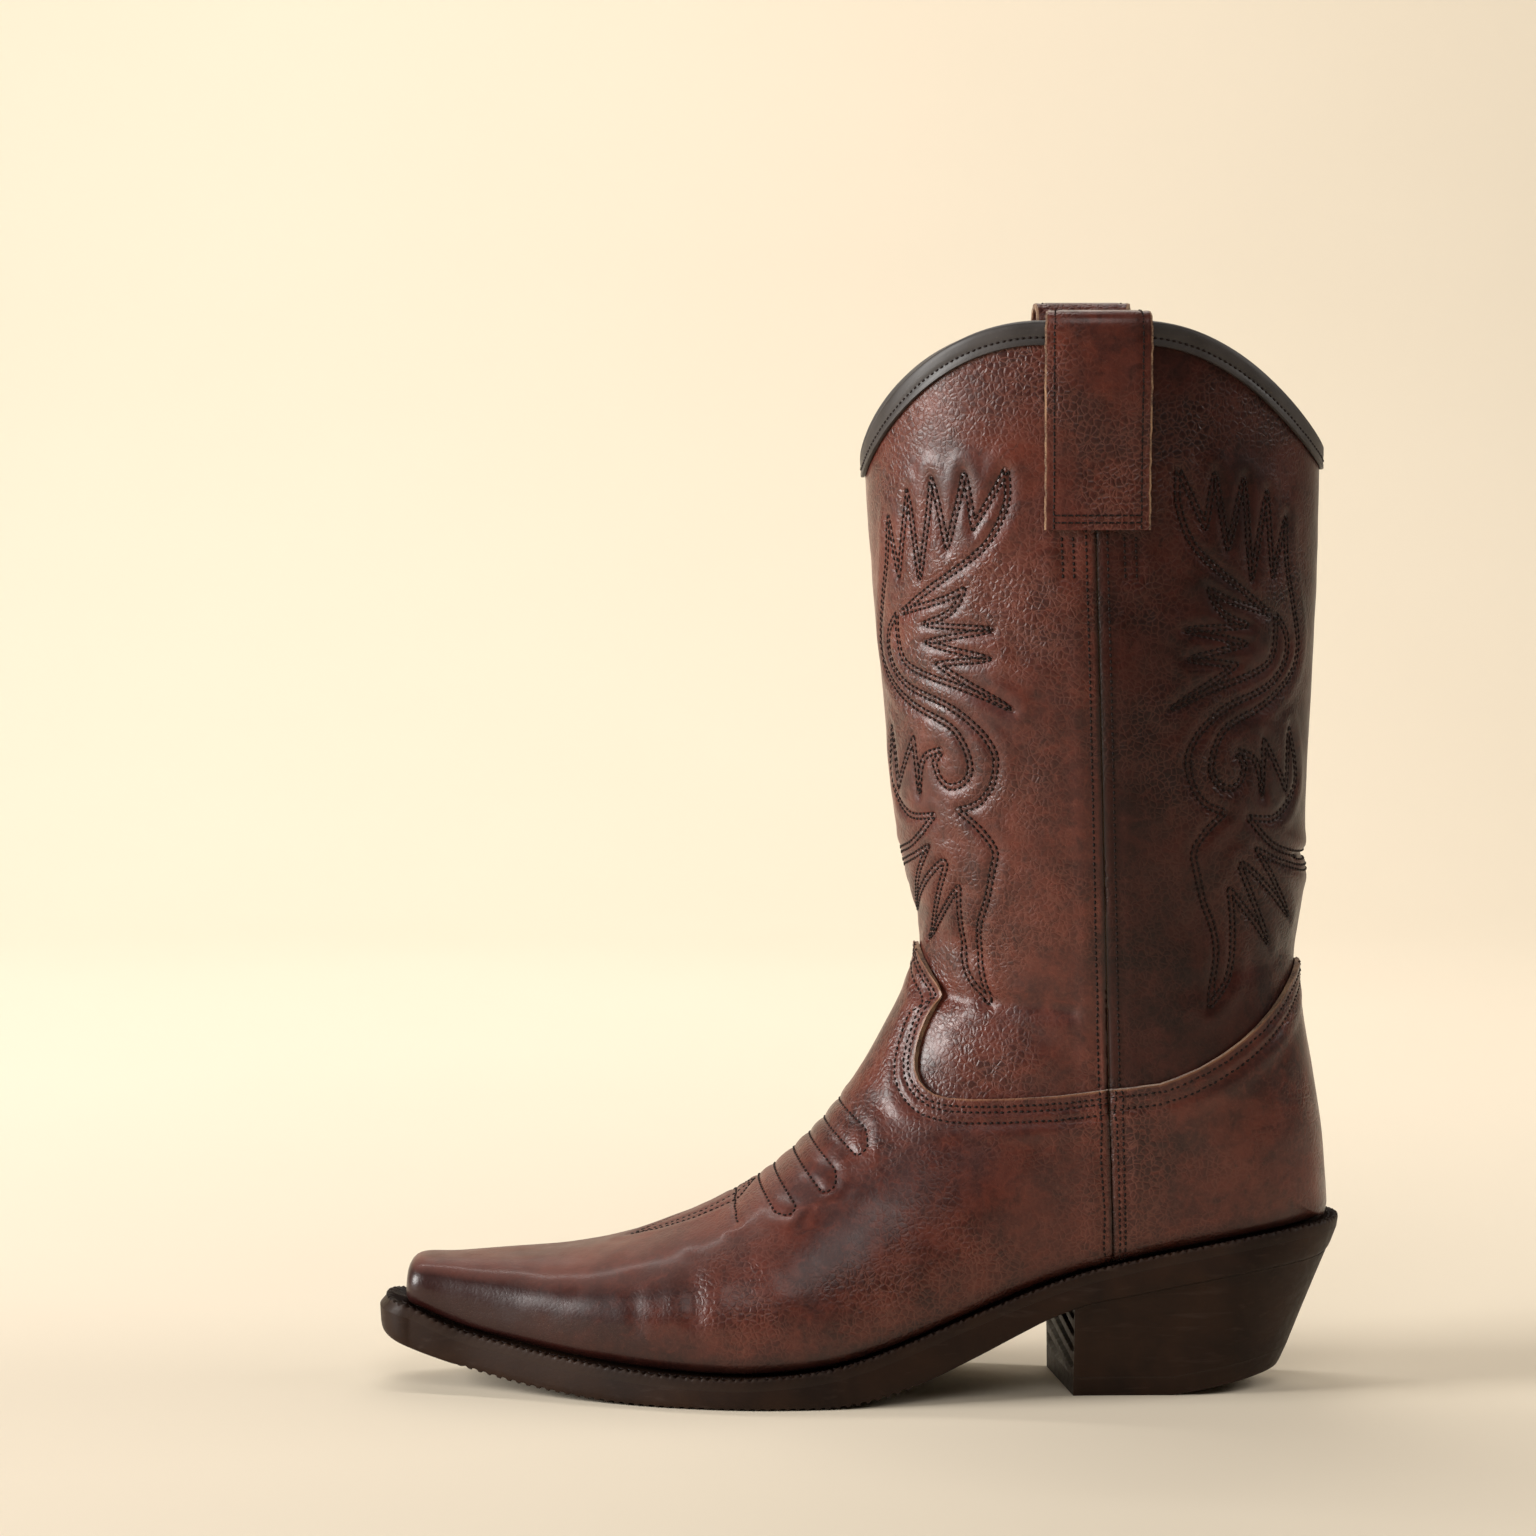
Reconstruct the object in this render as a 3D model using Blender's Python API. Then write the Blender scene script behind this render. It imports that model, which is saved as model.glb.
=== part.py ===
"""A left western boot with a snip toe, a scalloped shaft top and an underslung heel.

The upper is one surface, lofted through stations that fan from the toe, over the instep and up the shaft.
Every leather, lining and stiffener is a layer at its own offset from that surface, cut to its outline.
Lengths are in millimetres until a mesh is made. The toe points to -X, and the outer side faces -Y.
"""

from collections import namedtuple

import bmesh
import bpy
import numpy as np

METRES = 0.001
GAP = 0.3  # clearance between touching pieces

# The seat line, where the upper meets the bottom, and the outline that it has from above
TOE_X, HEEL_X = -141.0, 145.4
SEAT = [  # (x, z)
    (-152, 29.5), (-142, 27), (-128, 21.2), (-105, 16.2), (-80, 12.8), (-55, 10.9), (-31, 10.9), (-6, 14),
    (12, 19.4), (31, 26.8), (49, 33.8), (68, 40.4), (87, 45), (105, 48.6), (124, 52.2), (137, 54), (153, 55),
]
SEAT_LATERAL = [  # (x, half-width)
    (-141, 11), (-134, 13.4), (-124, 16), (-106, 23.5), (-84, 33), (-60, 41), (-34, 46), (-6, 44.5), (24, 37),
    (56, 31.5), (88, 29.6), (118, 29.4), (146, 29.4),
]
SEAT_MEDIAL = [
    (-141, 11), (-134, 13.4), (-124, 16.5), (-106, 24), (-84, 32), (-60, 38.5), (-34, 42.5), (-6, 40),
    (24, 32.5), (56, 28.6), (88, 28.2), (118, 29), (146, 29),
]
TOE_ROUND, TOE_POWER = 7.5, 2.4  # length and squareness of the snip toe's rounded end
HEEL_ROUND = 32.0  # length of the rounded heel end
TOE_SWING, SWING_START, SWING_LENGTH = 4.0, -30.0, 100.0  # the toe leans to the inner side

# Layers of the upper: (inner, outer) offset from the lofted surface
OUTER_LEATHER = (0.15, 1.85)
SHAFT_LEATHER = (-1.65, -0.15)
SEAM_TAPE = (-2.45, -1.95)
LINING = (-3.95, -2.75)

# The bottom, measured down from the seat line
WELT_DROP, WELT_THICK = 1.1, 3.0
LEDGE = [(-150, 6.6), (-60, 6.4), (0, 4.6), (60, 4.2), (150, 4.2)]  # how far the welt stands out: (x, width)
WELT_ENDS = (8.4, 5.8)  # how far it stands out at the toe and the heel
SOLE_ENDS = (10.2, 5.4)  # the same at the top of the outsole
TREAD_ENDS = (9.4, 2.2)  # the same at the underside
SOLE_FOOT = [  # underside of the outsole: (x, z)
    (-152, 17.4), (-144, 13.8), (-132, 9.8), (-112, 4.8), (-93, 1.9), (-74, 0.3), (-62, 0), (-8, 0),
    (2, 1.4), (12, 4), (24, 8.8), (37, 14.8), (49, 20.8), (58, 25.2), (68, 29), (87, 33), (105, 36.6),
    (124, 40.2), (153, 43.4),
]
WELT_COUNT, SOLE_COUNT = 32, 40  # places along the welt and the outsole
INSOLE_THICK, SOCK_THICK = 2.4, 1.2
INSOLE_INSET, WELT_INSET = 6.2, 6.0
FOREPART_END, HEEL_PART_START = -4.0, 72.0  # where the cork filler ends and the heel seat board starts
SHANK_HALF_WIDTH, SHANK_THICK, SHANK_DROP, SHANK_COUNT = 7.5, 1.6, 0.8, 9

# The heel
BREAST_X = 66.5
BREAST_SKEW = 5.5  # the inner end of the breast is this much further forward
HEEL_BACK_TOP, HEEL_BACK_FOOT = 147.5, 132.6  # rearmost points where the heel meets the sole and the floor
HEEL_TOP_SHARE, HEEL_FOOT_HALF_WIDTH = 0.97, 26.0
LIFT_THICK, LIFT_SHARE = 6.0, 0.8
WEAR_START, WEAR_SLOPE = 97.5, 0.19  # the back edge of the top lift is worn away
NAIL_RADIUS, NAIL_FOOT = 1.1, 15.0
NAIL_PLACES = [(82.0, -17.0), (82.0, 17.0), (124.0, -13.0), (124.0, 13.0)]
SCREW_RADIUS, SCREW_PLACE, SCREW_FOOT = 2.2, (104.0, 0.0), 12.0
HOLE_TOP = 90.0  # the fasteners' clearance holes are cut from above the insole
HEEL_AROUND = 14  # places along each side of the heel

# The shaft
SEAM_FOOT, SEAM_TOP = (78.0, 50.0), (68.3, 333.0)  # the side seam, (x, z)
FRONT_DIP, BACK_DIP, SIDE_PEAK = 290.8, 293.8, 331.6  # heights of the scalloped top edge
FRONT_SCALLOP, BACK_SCALLOP = (1.15, 1.4), (1.12, 2.1)  # how fast the edge climbs away from each dip
SCALLOP_SOFTNESS = 0.05
BINDING_THICK, BINDING_DEPTH = 1.05, 6.2
TAPE_HALF_WIDTH, TAPE_FOOT, TAPE_TOP = 6.0, 66.0, 322.0

# The pull straps
STRAP_HALF_WIDTH, STRAP_THICK = 15.7, 2.3
STRAP_CENTRES = {"lateral": 70.9, "medial": 72.8}
STRAP_FOOT, STRAP_SPRING = 270.0, 331.2  # the loop leaves the shaft's sides at the second height
STRAP_TOPS = {"lateral": 336.1, "medial": 341.0}
STRAP_LEGS = (1.5, 2.95, -7.5)  # offsets: outer leg's foot, outer leg's top, inner leg

Station = namedtuple("Station", "front back lateral medial widest front_power back_power")
# Ends (x, z), half-widths, share of the way from front to back to the widest point, superellipse powers
STATIONS = [
    Station((-141, 27), (-141, 27), 6, 6, 0.62, 2.4, 2.4),
    Station((-140.7, 33), (-140.3, 26), 11.5, 11.5, 0.64, 2.5, 2.4),
    Station((-139.9, 38.2), (-138, 25), 14, 14, 0.66, 2.7, 2.4),
    Station((-134.8, 38.5), (-133, 23), 15.5, 15.5, 0.66, 2.8, 2.4),
    Station((-126, 38.1), (-124, 20), 18.4, 18.8, 0.68, 2.8, 2.4),
    Station((-108, 39.4), (-106, 16), 26, 26.4, 0.68, 2.6, 2.4),
    Station((-89, 40.6), (-84, 13), 35.4, 34.2, 0.70, 2.4, 2.4),
    Station((-71, 44.6), (-60, 11), 43.4, 40.8, 0.73, 2.25, 2.4),
    Station((-52.6, 51.4), (-34, 11), 48.4, 45, 0.75, 2.1, 2.4),
    Station((-34.6, 60.2), (-6, 14), 47.4, 43.4, 0.75, 2.0, 2.3),
    Station((-18.2, 73.6), (24, 24), 42, 38.6, 0.72, 2.0, 2.2),
    Station((-5, 88.2), (56, 36), 37.2, 35, 0.66, 2.0, 2.2),
    Station((4.8, 103), (88, 45), 36.4, 35.4, 0.58, 2.0, 2.2),
    Station((12, 116.5), (118, 51), 37, 36.4, 0.53, 2.0, 2.3),
    Station((17.2, 127.5), (137, 54.2), 37.6, 37, 0.5, 2.0, 2.4),
    Station((19.2, 135.5), (145.4, 55), 38, 37.6, 0.49, 2.0, 2.5),
    Station((18.8, 142), (145.4, 55), 38.4, 38, 0.48, 2.0, 2.5),
    Station((18.2, 147), (145.4, 55), 38.8, 38.4, 0.48, 2.0, 2.5),
    Station((17.4, 152.5), (145, 68), 39.6, 39.4, 0.48, 2.0, 2.5),
    Station((15.8, 158.5), (143.6, 82), 41, 41, 0.48, 2.05, 2.4),
    Station((13.4, 165.5), (141, 99), 43, 43, 0.48, 2.1, 2.3),
    Station((11.8, 174), (138, 118), 45.4, 45.4, 0.48, 2.1, 2.2),
    Station((10.8, 184), (135.8, 136), 47.8, 47.8, 0.48, 2.1, 2.1),
    Station((9.6, 196), (140.2, 156), 50.2, 50.2, 0.48, 2.1, 2.1),
    Station((8.2, 210), (139.8, 180), 52.4, 52.4, 0.48, 2.1, 2.1),
    Station((6.3, 228), (141, 206), 54.4, 54.4, 0.48, 2.1, 2.1),
    Station((4.2, 250), (142.6, 238), 56, 56, 0.48, 2.1, 2.1),
    Station((2.3, 274), (143.6, 271), 57.2, 57.2, 0.48, 2.1, 2.1),
    Station((1.0, 300), (143.7, 300), 58, 58, 0.48, 2.1, 2.1),
    Station((0.4, 330), (143.6, 330), 58.4, 58.4, 0.48, 2.1, 2.1),
    Station((0.0, 360), (143.5, 360), 58.6, 58.6, 0.48, 2.1, 2.1),
]
TOE_STATION = 0.6  # up to here the sections stand upright in front of the toe
HEEL_STATION = 16  # here the back end leaves the seat line and starts up the heel
LEVEL_STATION = 27  # from here up the sections are level

# The grid that every layer of the upper shares, so that the layers nest
ROWS = [0.3, 0.9, 1.5, 2.1, 2.8, 3.6, 4.8, 6, 7.2, 8.4, 9.6, 10.8, 12, 13, 14, 14.8, 15.4, 16, 17, 18, 19.2,
        20.4, 21.6, 23, 25, 27]
TOP_ROWS = 3
AROUND = [0.07, 0.16, 0.26, 0.37, 0.48, 0.59, 0.7, 0.81, 0.91, 1.0]

# Outlines of the leathers, seen from the side: (x, z)
FRONT_X, BACK_X, FLOOR_Z, CEILING_Z = -175, 175, -20, 370  # outlines run out to here, clear of the boot
VAMP_TOP_Z = 159  # over the tongue
PRISM_REACH = 90  # the outlines' cutters reach this far to both sides
TONGUE = [(2, 157.5), (12, 156.8), (16.6, 146), (20.4, 135.5), (24.6, 128.2)]
THROAT = [(26, 124.6), (22, 117), (18.8, 108), (18.2, 101), (21, 96), (27.5, 93.6), (43, 94), (61, 95.4)]
COUNTER_TOP = [(92, 99.6), (104, 104.4), (117, 112.4), (127, 121.4), (134.3, 130.4), (142, 142), (160, 166)]
FRONT_LAP = [(2, 147), (9, 145), (9.6, 128), (8, 112), (9.4, 96), (16, 86.5), (28, 84)]
BACK_LAP = [(94, 90), (110, 97), (124, 108), (134, 120), (146, 134), (165, 158)]
STIFFENER_TOP = [(85, 60), (88, 72), (100, 82), (118, 94), (134, 105), (160, 122)]
SEAM_CROSSING_Z, LAP_CROSSING_Z = 97.6, 87.6  # where the leathers' and the laps' edges meet the side seam
LINING_SPLIT = [(-60, 104), (-20, 78), (20, 63)]  # top edge of the vamp lining, down to the side seam
LINING_SPLIT_SEAM_Z = 58.0

COLOURS = {  # base colour, roughness, metallic
    "outer_leather": ((0.115, 0.040, 0.028), 0.38, 0.0),
    "shaft_leather": ((0.120, 0.043, 0.030), 0.38, 0.0),
    "binding": ((0.030, 0.024, 0.022), 0.35, 0.0),
    "lining": ((0.42, 0.29, 0.18), 0.75, 0.0),
    "board": ((0.30, 0.24, 0.18), 0.85, 0.0),
    "rubber": ((0.022, 0.017, 0.015), 0.55, 0.0),
    "cork": ((0.40, 0.26, 0.14), 0.9, 0.0),
    "steel": ((0.55, 0.55, 0.56), 0.35, 1.0),
}


def clear_scene():
    for obj in list(bpy.data.objects):
        bpy.data.objects.remove(obj)


# ---- The lofted surface ----


def smooth_step(value):
    value = np.clip(value, 0, 1)
    return value * value * (3 - 2 * value)


def along(line, x):
    """A smooth curve through a line's points, read at x."""
    xs, ys = np.array(line, float).T
    slopes = np.gradient(ys, xs)
    i = np.clip(np.searchsorted(xs, x) - 1, 0, len(xs) - 2)
    step = xs[i + 1] - xs[i]
    s = np.clip((x - xs[i]) / step, 0, 1)
    rise = ys[i + 1] - ys[i]
    start, end = slopes[i] * step, slopes[i + 1] * step
    return ys[i] + s * start + s**2 * (3 * rise - 2 * start - end) + s**3 * (start + end - 2 * rise)


def half_width(x, line, margin=0.0, toe_margin=0.0, heel_margin=0.0):
    """Half-width of the seat line moved outward by a margin, with its rounded toe and heel ends."""
    toe_round, heel_round = TOE_ROUND + toe_margin / 3, HEEL_ROUND + heel_margin
    toe = np.clip((TOE_X - toe_margin + toe_round - x) / toe_round, 0, 1)
    heel = np.clip((x - HEEL_X - heel_margin + heel_round) / heel_round, 0, 1)
    return (along(line, x) + margin) * (1 - toe**TOE_POWER) ** (1 / TOE_POWER) * np.sqrt(1 - heel**2)


def sole_foot(x):
    """Height of the outsole's underside, which lies on the floor under the ball."""
    return np.maximum(along(SOLE_FOOT, x), 0)


def swing(x):
    return TOE_SWING * smooth_step((SWING_START - x) / SWING_LENGTH)


def station_values(t):
    """The stations blended by a uniform cubic B-spline."""
    table = np.array([[*s.front, *s.back, *s[2:]] for s in STATIONS], float)
    table = np.vstack([2 * table[0] - table[1], table, 2 * table[-1] - table[-2]])
    t = np.clip(np.asarray(t, float), 0, len(STATIONS) - 1 - 1e-9)
    i = t.astype(int)
    f = (t - i)[..., None]
    weights = [(1 - f) ** 3, 3 * f**3 - 6 * f**2 + 4, -3 * f**3 + 3 * f**2 + 3 * f + 1, f**3]
    return sum(w * table[i + k] for k, w in enumerate(weights)) / 6


def upper_point(t, v):
    """A point of the lofted surface. t runs through the stations. v runs from 0 at the front middle line to 1 at
    the seat line or back middle line, and is negative on the outer side."""
    t, v = np.broadcast_arrays(np.asarray(t, float), np.asarray(v, float))
    values = np.moveaxis(station_values(t), -1, 0)
    front_x, front_z, back_x, back_z, lateral, medial, widest, front_power, back_power = values
    on_seat = t < HEEL_STATION
    back_z = np.where(on_seat, along(SEAT, back_x), back_z)
    outer_side = v < 0
    half = np.where(outer_side, lateral, medial)
    seat = np.where(outer_side, half_width(back_x, SEAT_LATERAL), half_width(back_x, SEAT_MEDIAL))
    share = np.where(on_seat, np.clip(seat / half, 0, 0.985), 0)
    end_angle = np.pi - np.arcsin(share ** (back_power / 2))
    length = np.hypot(front_x - back_x, front_z - back_z) + 1e-9
    front_reach = widest * length
    back_reach = (1 - widest) * length / (1 - share**back_power) ** (1 / back_power)
    angle = np.abs(v) * end_angle
    ahead = angle <= np.pi / 2
    power = 2 / np.where(ahead, front_power, back_power)
    reach = np.where(ahead, front_reach, -back_reach) * np.abs(np.cos(angle)) ** power
    y = half * np.abs(np.sin(angle)) ** power * np.where(outer_side, -1, 1)
    x = front_x + (back_x - front_x) / length * (front_reach - reach)
    z = front_z + (back_z - front_z) / length * (front_reach - reach)
    return np.stack([x, y + swing(x), z], -1)


def upper_normal(t, v):
    """Outward unit normal of the lofted surface, level along the seat line so that the layers end on it."""
    small = 1e-3
    t, v = np.broadcast_arrays(np.asarray(t, float), np.asarray(v, float))
    up = np.where(t >= HEEL_STATION, t + small, np.minimum(t + small, HEEL_STATION - small / 2))
    down = np.where(t >= HEEL_STATION, np.maximum(t - small, HEEL_STATION), np.maximum(t - small, small))
    along_t = upper_point(up, v) - upper_point(down, v)
    across = upper_point(t, np.clip(v + small, -1, 1)) - upper_point(t, np.clip(v - small, -1, 1))
    normal = np.cross(along_t, across)
    normal[..., 1] = np.where((np.abs(v) >= 1) & (t >= HEEL_STATION), 0, normal[..., 1])
    level = np.where(t < HEEL_STATION, smooth_step((np.abs(v) - 0.85) / 0.15), 0)
    level = np.maximum(level, 1 - smooth_step((t - TOE_STATION) / TOE_STATION))
    normal[..., 2] = normal[..., 2] * (1 - level)
    return normal / (np.linalg.norm(normal, axis=-1, keepdims=True) + 1e-12)


def layer_point(t, v, offset):
    return upper_point(t, v) + np.asarray(offset, float)[..., None] * upper_normal(t, v)


def shaft_station(z, v):
    """The station value at which the column v of the shaft has height z."""
    ts = np.linspace(LEVEL_STATION - 2, len(STATIONS) - 1.001, 120)
    return np.interp(z, upper_point(ts, v)[:, 2], ts)


def shaft_place(x, z, side):
    """The station and column of a point on the shaft, from its place as seen from the side."""
    columns = np.linspace(0.02, 0.98, 97) * side
    v = 0.5 * side
    for _ in range(4):
        t = shaft_station(z, v)
        v = np.interp(x, upper_point(t, columns)[:, 0], columns)
    return t, v


def top_height(v):
    """Height of the scalloped top edge."""
    from_front = np.abs(v) * np.pi

    def climb(angle, rate, power):
        return (np.sin(np.minimum(rate * angle, np.pi / 2)) ** 2 + SCALLOP_SOFTNESS**2) ** (power / 2)

    front = FRONT_DIP + (SIDE_PEAK - FRONT_DIP) * np.minimum(climb(from_front, *FRONT_SCALLOP), 1)
    back = BACK_DIP + (SIDE_PEAK - BACK_DIP) * np.minimum(climb(np.pi - from_front, *BACK_SCALLOP), 1)
    return np.where(from_front < np.pi / 2, front, back)


def around(sides=(-1, 1)):
    """The shared columns, from the outer side's end, over the front, to the inner side's end."""
    half = np.array(AROUND)
    parts = [-half[::-1]] if -1 in sides else []
    parts += [np.zeros(1)] if len(sides) == 2 else []
    parts += [half] if 1 in sides else []
    return np.concatenate(parts)


def grid_rows(first, last, columns):
    rows = [r for r in ROWS if first <= r <= last]
    return np.array(rows)[:, None] * np.ones(len(columns))


def shaft_rows(first, columns):
    """Rows from a station up to the scalloped top edge."""
    top = np.array([shaft_station(top_height(v), v) for v in columns])
    shares = np.arange(1, TOP_ROWS + 1)[:, None] / TOP_ROWS
    rising = LEVEL_STATION + shares * (top - LEVEL_STATION)
    return np.vstack([grid_rows(first, LEVEL_STATION, columns), rising])


# ---- Making meshes ----


def material(name):
    found = bpy.data.materials.get(name)
    if found:
        return found
    made = bpy.data.materials.new(name)
    made.use_nodes = True
    shader = made.node_tree.nodes["Principled BSDF"]
    colour, roughness, metallic = COLOURS[name]
    shader.inputs["Base Color"].default_value = (*colour, 1)
    shader.inputs["Roughness"].default_value = roughness
    shader.inputs["Metallic"].default_value = metallic
    made.diffuse_color = (*colour, 1)
    return made


def add_object(name, points, faces, finish=None):
    mesh = bpy.data.meshes.new(name)
    mesh.from_pydata((np.asarray(points, float) * METRES).tolist(), [], [[int(i) for i in f] for f in faces])
    edit = bmesh.new()
    edit.from_mesh(mesh)
    bmesh.ops.remove_doubles(edit, verts=edit.verts, dist=1e-6)
    bmesh.ops.recalc_face_normals(edit, faces=edit.faces)
    edit.to_mesh(mesh)
    edit.free()
    mesh.shade_smooth()
    mesh.set_sharp_from_angle(angle=0.6)
    obj = bpy.data.objects.new(name, mesh)
    bpy.context.scene.collection.objects.link(obj)
    if finish:
        mesh.materials.append(material(finish))
    else:
        obj.hide_render = True
        obj.display_type = "WIRE"
    return obj


def strip(first, second):
    """Triangles between two rows of point numbers, all with the same diagonal."""
    pairs = zip(first[:-1], first[1:], second[1:], second[:-1])
    return [f for a, b, c, d in pairs for f in ((a, b, c), (a, c, d))]


def shell(name, t, v, layer, finish):
    """A thin solid between two offsets of the lofted surface, on the grid of stations t and columns v."""
    rows, columns = t.shape
    v = np.broadcast_to(v, t.shape)
    points = np.concatenate([layer_point(t, v, offset).reshape(-1, 3) for offset in layer])
    inner = np.arange(rows * columns).reshape(rows, columns)
    outer = inner + rows * columns
    faces = []
    for i in range(rows - 1):
        faces += strip(inner[i], inner[i + 1]) + strip(outer[i], outer[i + 1])
    for i in (0, rows - 1):
        faces += strip(inner[i], outer[i])
    for j in (0, columns - 1):
        meets = np.abs(v[0, j]) >= 1
        open_rows = np.flatnonzero(t[:, j] <= HEEL_STATION) if meets else np.arange(rows)
        faces += strip(inner[open_rows, j], outer[open_rows, j])
    return add_object(name, points, faces, finish)


def prism(name, outline):
    """A cutter that runs across the whole boot, with the given outline (x, z)."""
    count = len(outline)
    points = [(x, y, z) for y in (-PRISM_REACH, PRISM_REACH) for x, z in outline]
    faces = [range(count), range(count, 2 * count)]
    faces += [(i, (i + 1) % count, count + (i + 1) % count, count + i) for i in range(count)]
    return add_object(name, points, faces)


def cut(obj, cutter, operation="INTERSECT"):
    modifier = obj.modifiers.new(cutter.name, "BOOLEAN")
    modifier.operation = operation
    modifier.object = cutter


def rounded(points, per_span=2):
    """A curve through the points, for the round stretches of an outline."""
    p = np.array([points[0], *points, points[-1]], float)
    curve = []
    for i in range(1, len(p) - 2):
        a, b, c, d = p[i - 1 : i + 3]
        for s in np.arange(per_span) / per_span:
            square, cube = 2 * a - 5 * b + 4 * c - d, 3 * b - a - 3 * c + d
            curve.append(tuple(0.5 * (2 * b + (c - a) * s + square * s**2 + cube * s**3)))
    return [*curve, tuple(points[-1])]


def seam_at(z, shift=0.0):
    """The side seam's place at the height z, moved along X."""
    slope = (SEAM_TOP[0] - SEAM_FOOT[0]) / (SEAM_TOP[1] - SEAM_FOOT[1])
    return SEAM_FOOT[0] + slope * (z - SEAM_FOOT[1]) + shift, z


# ---- The upper ----


def add_outer_leathers():
    ahead, behind = -GAP / 2, GAP / 2
    vamp = [(FRONT_X, VAMP_TOP_Z), *rounded(TONGUE), *rounded(THROAT), seam_at(SEAM_CROSSING_Z, ahead),
            seam_at(FLOOR_Z, ahead), (FRONT_X, FLOOR_Z)]
    counter = [seam_at(FLOOR_Z, behind), seam_at(SEAM_CROSSING_Z, behind), *rounded(COUNTER_TOP),
               (BACK_X, COUNTER_TOP[-1][1]), (BACK_X, FLOOR_Z)]
    columns = around()
    leather = shell("vamp", grid_rows(0, 20.4, columns), columns, OUTER_LEATHER, "outer_leather")
    cut(leather, prism("vamp_outline", vamp))
    leather = shell("heel_counter", grid_rows(9.6, 25, columns), columns, OUTER_LEATHER, "outer_leather")
    cut(leather, prism("heel_counter_outline", counter))


def add_shaft_panels():
    ahead, behind = -GAP / 2, GAP / 2
    front = [(FRONT_X, FRONT_LAP[0][1]), *rounded(FRONT_LAP), seam_at(LAP_CROSSING_Z, ahead),
             seam_at(CEILING_Z, ahead), (FRONT_X, CEILING_Z)]
    back = [seam_at(CEILING_Z, behind), seam_at(LAP_CROSSING_Z, behind), *rounded(BACK_LAP),
            (BACK_X, BACK_LAP[-1][1]), (BACK_X, CEILING_Z)]
    columns = around()
    for name, outline in (("front_shaft_panel", front), ("back_shaft_panel", back)):
        panel = shell(name, shaft_rows(9.6, columns), columns, SHAFT_LEATHER, "shaft_leather")
        cut(panel, prism(name + "_outline", outline))


def add_stiffeners():
    columns = around()
    shell("toe_puff", grid_rows(2.1, 6, columns), columns, SHAFT_LEATHER, "board")
    stiffener = shell("heel_stiffener", grid_rows(9.6, 23, columns), columns, SHAFT_LEATHER, "board")
    outline = [(85, FLOOR_Z), *rounded(STIFFENER_TOP), (BACK_X, STIFFENER_TOP[-1][1]), (BACK_X, FLOOR_Z)]
    cut(stiffener, prism("heel_stiffener_outline", outline))


def add_linings():
    ahead, behind = -GAP / 2, GAP / 2
    split = [*LINING_SPLIT, seam_at(LINING_SPLIT_SEAM_Z, ahead)]
    below = [(x, z - GAP) for x, z in split]
    split_z = LINING_SPLIT[0][1]
    outlines = {
        "vamp_lining": [(FRONT_X, split_z), *below, seam_at(FLOOR_Z, ahead), (FRONT_X, FLOOR_Z)],
        "front_shaft_lining": [(FRONT_X, split_z + GAP), *split, seam_at(CEILING_Z, ahead),
                               (FRONT_X, CEILING_Z)],
        "back_shaft_lining": [seam_at(FLOOR_Z, behind), seam_at(CEILING_Z, behind), (BACK_X, CEILING_Z),
                              (BACK_X, FLOOR_Z)],
    }
    first_rows = {"vamp_lining": 3.6, "front_shaft_lining": 7.2, "back_shaft_lining": 9.6}
    columns = around()
    for name, outline in outlines.items():
        last = 16 if name == "vamp_lining" else None
        rows = grid_rows(first_rows[name], last, columns) if last else shaft_rows(first_rows[name], columns)
        lining = shell(name, rows, columns, LINING, "lining")
        cut(lining, prism(name + "_outline", outline))


def add_seam_tapes():
    outline = [seam_at(TAPE_FOOT, -TAPE_HALF_WIDTH), seam_at(TAPE_TOP, -TAPE_HALF_WIDTH),
               seam_at(TAPE_TOP, TAPE_HALF_WIDTH), seam_at(TAPE_FOOT, TAPE_HALF_WIDTH)]
    cutter = prism("seam_tape_outline", outline)
    for name, side in (("lateral", -1), ("medial", 1)):
        columns = around([side])[3:-1] if side < 0 else around([side])[1:-3]
        tape = shell(name + "_seam_tape", shaft_rows(9.6, columns), columns, SEAM_TAPE, "lining")
        cut(tape, cutter)


def add_top_binding():
    """A folded strip round the top edge: its section is an arch with two legs."""
    out, in_ = SHAFT_LEATHER[1] + GAP, LINING[0] - GAP
    thick, depth = BINDING_THICK, BINDING_DEPTH
    middle = (out + in_) / 2
    section = [  # (offset from the surface, height over the edge)
        (out + thick, -depth), (out + thick, 0.1), (out, GAP + 0.75 * thick), (middle, GAP + thick),
        (in_, GAP + 0.75 * thick), (in_ - thick, 0.1), (in_ - thick, -depth),
        (in_, -depth), (in_, GAP), (out, GAP), (out, -depth),
    ]
    columns = around()[:-1]
    stations = np.array([shaft_station(top_height(v), v) for v in columns])
    edge, normal = upper_point(stations, columns), upper_normal(stations, columns)
    tangent = np.roll(edge, -1, 0) - np.roll(edge, 1, 0)
    rise = np.cross(normal, tangent)
    rise *= np.sign(rise[:, 2:]) / np.linalg.norm(rise, axis=1, keepdims=True)
    rows = []
    for offset, height in section:
        if height > 0:
            rows.append(edge + offset * normal + height * rise)
        else:
            lower = top_height(columns) + height / np.maximum(rise[:, 2], 0.55)
            stations = np.array([shaft_station(z, v) for z, v in zip(lower, columns)])
            rows.append(layer_point(stations, columns, offset))
    points = np.concatenate(rows)
    ring = np.arange(len(points)).reshape(len(section), len(columns))
    ring = np.hstack([ring, ring[:, :1]])
    faces = []
    for i in range(len(section)):
        faces += strip(ring[i], ring[(i + 1) % len(section)])
    add_object("top_binding", points, faces, "binding")


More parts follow.
